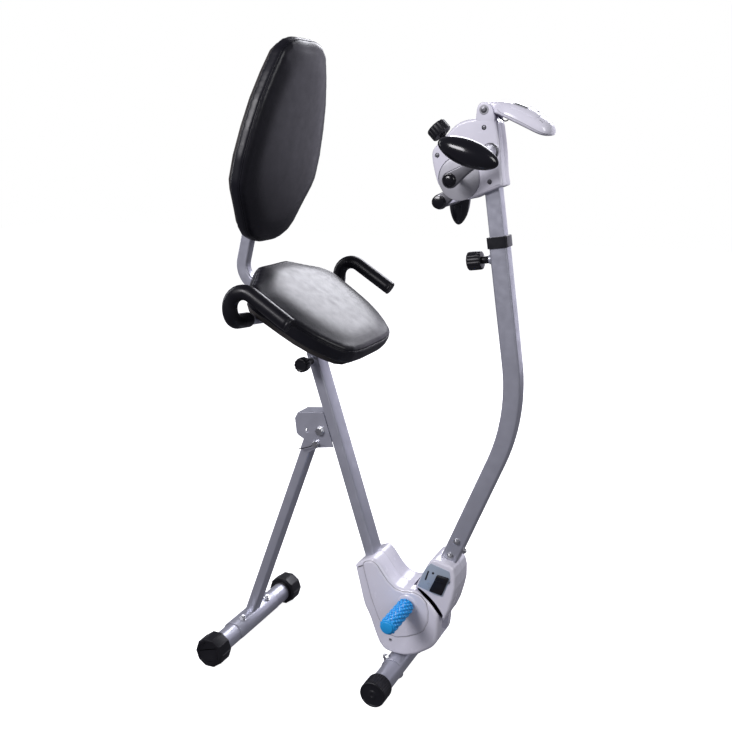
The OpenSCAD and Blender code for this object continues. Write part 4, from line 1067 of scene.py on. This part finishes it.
def arc_between(a, b, c, r, n=10):
    """Points of the arc of radius r that rounds the corner b."""
    a, b, c = Vector(a), Vector(b), Vector(c)
    u, w = (a - b).normalized(), (c - b).normalized()
    half = u.angle(w) / 2
    t = r / math.tan(half)
    o = b + (u + w).normalized() * (r / sin(half))
    p, q = b + u * t - o, b + w * t - o
    full = p.angle(q)
    return [o + (sin(full * (1 - k / n)) * p + sin(full * k / n) * q) / sin(full)
            for k in range(n + 1)]


def densify(points, step=6.0):
    out = []
    for p, q in zip(points, points[1:]):
        n = max(1, int((q - p).length / step))
        out += [p.lerp(q, k / n) for k in range(n)]
    return out + [points[-1]]


HANDLE_Y = 260
# its corners, from the tip of a grip round to the tube under the seat
TIP, BEND_BACK = (37, -HANDLE_Y, 25), (-130, -HANDLE_Y, 25)
BEND_IN, END = (-78, -HANDLE_Y, -56), (-70, -120, -67)
half = [Vector(TIP)] + arc_between(TIP, BEND_BACK, BEND_IN, 36)
half += arc_between(BEND_BACK, BEND_IN, END, 32) + [Vector(END)]
whole = half + [Vector((p.x, -p.y, p.z)) for p in half[::-1]]
tube = Shape().pipe([SEAT @ p for p in densify(whole, 8)], 12.5, 32)
tube.make("handlebar_bend", "seat_unit", "silver_paint", ["handlebar_tube"])
foam, ends = Shape(), Shape()
for side in (-1, 1):
    keep = []
    for p in densify(half, 4):
        if p.y > -185:
            break
        keep.append(SEAT @ Vector((p.x, -side * p.y if side > 0 else p.y, p.z)))
    total = len(keep) - 1
    foam.pipe(keep, 16.5, 40, taper=lambda t: (1 - 0.10 * max(0, 1 - t * total / 1.0) ** 2
                                               - 0.12 * max(0, 1 - (1 - t) * total / 1.5) ** 2))
    tip = SEAT @ shift(37, side * HANDLE_Y, 25) @ turn_y(90)
    ends.turned([(13, -1.0), (16.3, -0.6), (16.5, 0.4), (16.5, 3.2), (15.6, 4.5), (13.5, 5), (5, 5),
                 (4.4, 4.4), (0, 4.4)], tip, 56)
foam.make("foam_sleeves", "seat_unit", "black_foam", ["foam_grips"], sharp=50)
ends.make("handlebar_end_caps", "seat_unit", "black_plastic", ["handlebar_caps"])

SEAT_HALF = [(-165, 60), (-134, 120), (-117, 157), (-90, 183), (-70, 184), (1, 177), (38, 171), (75, 158),
             (105, 140), (130, 120), (142, 95), (147, 50)]
BACK_HALF = [(-128, 30), (-124, 52), (-112, 82), (-94, 102), (-60, 124), (-15, 155), (10, 167), (65, 168),
             (130, 158), (190, 143), (247, 120), (295, 95), (313, 70), (320, 40)]


def mirrored(half):
    return half + [(s, -y) for s, y in half[::-1]]


# the boards under both cushions
# outline (s, y) of a slab; its depth runs down from the seat, or back from the backrest
SEAT_UP = SEAT @ Matrix.Rotation(-pi / 2, 4, "X")
BACK_UP = BACK @ Matrix(((0, -1, 0, 0), (0, 0, 1, 0), (1, 0, 0, 0), (0, 0, 0, 1)))
boards = Shape()
boards.slab(fillet(inset(mirrored(SEAT_HALF), 8), 14), SEAT_T, SEAT_T + BOARD_T, 1, 2.2, m=SEAT_UP)
boards.slab(fillet(inset(mirrored(BACK_HALF), 8), 14), BACK_T, BACK_T + BACK_BOARD, 1, 2.2, m=BACK_UP)
boards.make("cushion_board_pair", "seat_unit", "board", ["cushion_boards"])


# ---------------------------------------------------------------- cushions
def shrink(outline, d):
    """The outline scaled towards its middle so that its half width drops by about d."""
    cx = (max(p[0] for p in outline) + min(p[0] for p in outline)) / 2
    hx = (max(p[0] for p in outline) - min(p[0] for p in outline)) / 2
    hy = max(p[1] for p in outline)
    return [(cx + (x - cx) * (1 - d / hx), y * (1 - d / hy)) for x, y in outline]


FRAMES = 12             # length of the cloth simulation
EVENING = 40            # passes that even out the cloth's fine folds


def ease_fold(obj, rest, cap):
    """Takes the fine folds out of the blown cover and keeps its swell, as a taut cover over foam does."""
    data = obj.data
    start = np.array([tuple(v) for v in rest])
    move = np.array([tuple(v.co) for v in data.vertices]) - start
    size = np.linalg.norm(move, axis=1, keepdims=True)
    move *= np.minimum(1.0, cap * MM / np.maximum(size, 1e-9))
    ends = np.array([tuple(e.vertices) for e in data.edges])
    count = np.bincount(ends.ravel(), minlength=len(start))[:, None]
    for _ in range(EVENING):
        total = np.zeros_like(move)
        np.add.at(total, ends[:, 0], move[ends[:, 1]])
        np.add.at(total, ends[:, 1], move[ends[:, 0]])
        move = 0.4 * move + 0.6 * total / count
    for v, p in zip(data.vertices, start + move):
        v.co = p


def cushion(name, outline, thick, m, node, crown, blow, cap, seam_at):
    """Boxed cushion: crowned top panel, side band, flat back on its board.
    Depth runs from 0 at the crowned face to thick at the board."""
    edge = even(fillet(outline, 9, 6), 6.0)
    hy = max(p[1] for p in edge)
    levels = [(thick - 0.6, inset(edge, 5.0)), (thick - 1.2, inset(edge, 2.0)), (thick - 4.5, inset(edge, 0.2)),
              (thick * 0.62, inset(edge, -0.6)), (seam_at + 4, inset(edge, -0.4)), (seam_at, inset(edge, 0.4)),
              (seam_at - 3.6, inset(edge, 3.0)), (seam_at - 6.4, inset(edge, 8.0))]
    last = inset(edge, 8.0)
    for d in (10, 22, 38, 58, 80, 105, hy - 12, hy - 3):
        if d > hy - 2:
            continue
        k = d / hy
        levels.append((seam_at - 6.4 - crown * (1 - (1 - k) ** 2.2), shrink(last, d)))
    obj = Shape().loft([[(x, h, y) for x, y in ring] for h, ring in levels], m).build(name)
    modify(obj, "REMESH", mode="VOXEL", voxel_size=5.0 * MM)
    apply_all(obj)
    back = m.inverted()
    rest = [v.co.copy() for v in obj.data.vertices]
    pins = obj.vertex_groups.new(name="pins")
    for v in obj.data.vertices:
        depth = (back @ (v.co / MM)).y
        pins.add([v.index], 1.0 if depth > thick - 5 else 0.0, "REPLACE")
    cloth = modify(obj, "CLOTH")
    cs = cloth.settings
    cs.quality = 4
    cs.mass = 0.3
    cs.tension_stiffness = cs.compression_stiffness = 25
    cs.shear_stiffness = 10
    cs.bending_stiffness = 4
    cs.use_pressure = True
    cs.uniform_pressure_force = blow
    cs.vertex_group_mass = "pins"
    cs.effector_weights.gravity = 0
    cloth.point_cache.frame_start = 1
    cloth.point_cache.frame_end = FRAMES
    for f in range(1, FRAMES + 1):
        scene.frame_set(f)
    apply_all(obj)
    ease_fold(obj, rest, cap)
    scene.frame_set(1)
    modify(obj, "SMOOTH", factor=0.5, iterations=5)
    modify(obj, "SUBSURF", levels=1, render_levels=1)
    apply_all(obj)
    # sewn seam: the cover dips along a line round the side, with a thin welt standing in it
    loop = even(fillet(outline, 9, 6), 3.0)
    tree = BVHTree.FromObject(obj, bpy.context.evaluated_depsgraph_get())
    mid = sum((Vector(p) for p in loop), Vector((0, 0))) / len(loop)
    line = []
    n = len(loop)
    for i, p in enumerate(loop):
        t = Vector(loop[(i + 1) % n]) - Vector(loop[i - 1])
        out = Vector((t.y, -t.x)).normalized()
        if out.dot(Vector(p) - mid) < 0:
            out = -out
        far = m @ Vector((p[0] + out.x * 40, seam_at + 1.0, p[1] + out.y * 40))
        way = (m.to_3x3() @ Vector((-out.x, 0, -out.y))).normalized()
        hit = tree.ray_cast(far * MM, way, 0.08)
        line.append(hit[0] / MM if hit[0] else m @ Vector((p[0], seam_at, p[1])))
    line = [(line[i - 1] + line[i] * 2 + line[(i + 1) % n]) / 4 for i in range(n)]
    near = KDTree(n)
    for i, p in enumerate(line):
        near.insert(p * MM, i)
    near.balance()
    for v in obj.data.vertices:
        d = near.find(v.co)[2] / MM
        if d < 9:
            v.co -= v.normal * (1.5 * math.exp(-(d / 2.6) ** 2)) * MM
        q = back @ (v.co / MM)
        if q.y > thick - 0.6:
            v.co = (m @ Vector((q.x, thick - 0.6, q.z))) * MM
    dress(obj, "seat_unit", "black_vinyl", [node], sharp=180)
    middle = m @ Vector((mid.x, seam_at, mid.y))
    welt = Shape().ring_pipe([p - (p - middle).normalized() * 0.7 for p in line], 1.15, 8)
    welt.make(name + "_welt", "seat_unit", "black_vinyl", sharp=80)


cushion("seat_pad", inset(mirrored(SEAT_HALF), -4), SEAT_T, SEAT_UP, "seat_cushion",
        crown=7.0, blow=4.0, cap=9.0, seam_at=8.0)
cushion("back_pad", inset(mirrored(BACK_HALF), -6), BACK_T, BACK_UP, "back_cushion",
        crown=5.0, blow=4.0, cap=8.0, seam_at=8.0)

# ---------------------------------------------------------------- floor, finish
floor_mesh = bpy.data.meshes.new("floor")
R = 9.0
floor_mesh.from_pydata([(-R, -R, 0), (R, -R, 0), (R, R, 0), (-R, R, 0)], [], [(0, 1, 2, 3)])
floor = add(bpy.data.objects.new("floor", floor_mesh))
floor.location.z = -0.0004
paper = bpy.data.materials.new("paper")
paper.use_nodes = True
fill(paper.node_tree.nodes["Principled BSDF"],
     {"Base Color": (0.9, 0.9, 0.9, 1), "Roughness": 0.9, "Specular IOR Level": 0.1,
      "Emission Color": (1, 1, 1, 1), "Emission Strength": 0.92})
floor_mesh.materials.append(paper)
floor.visible_glossy = floor.visible_diffuse = False

bpy.context.view_layer.update()
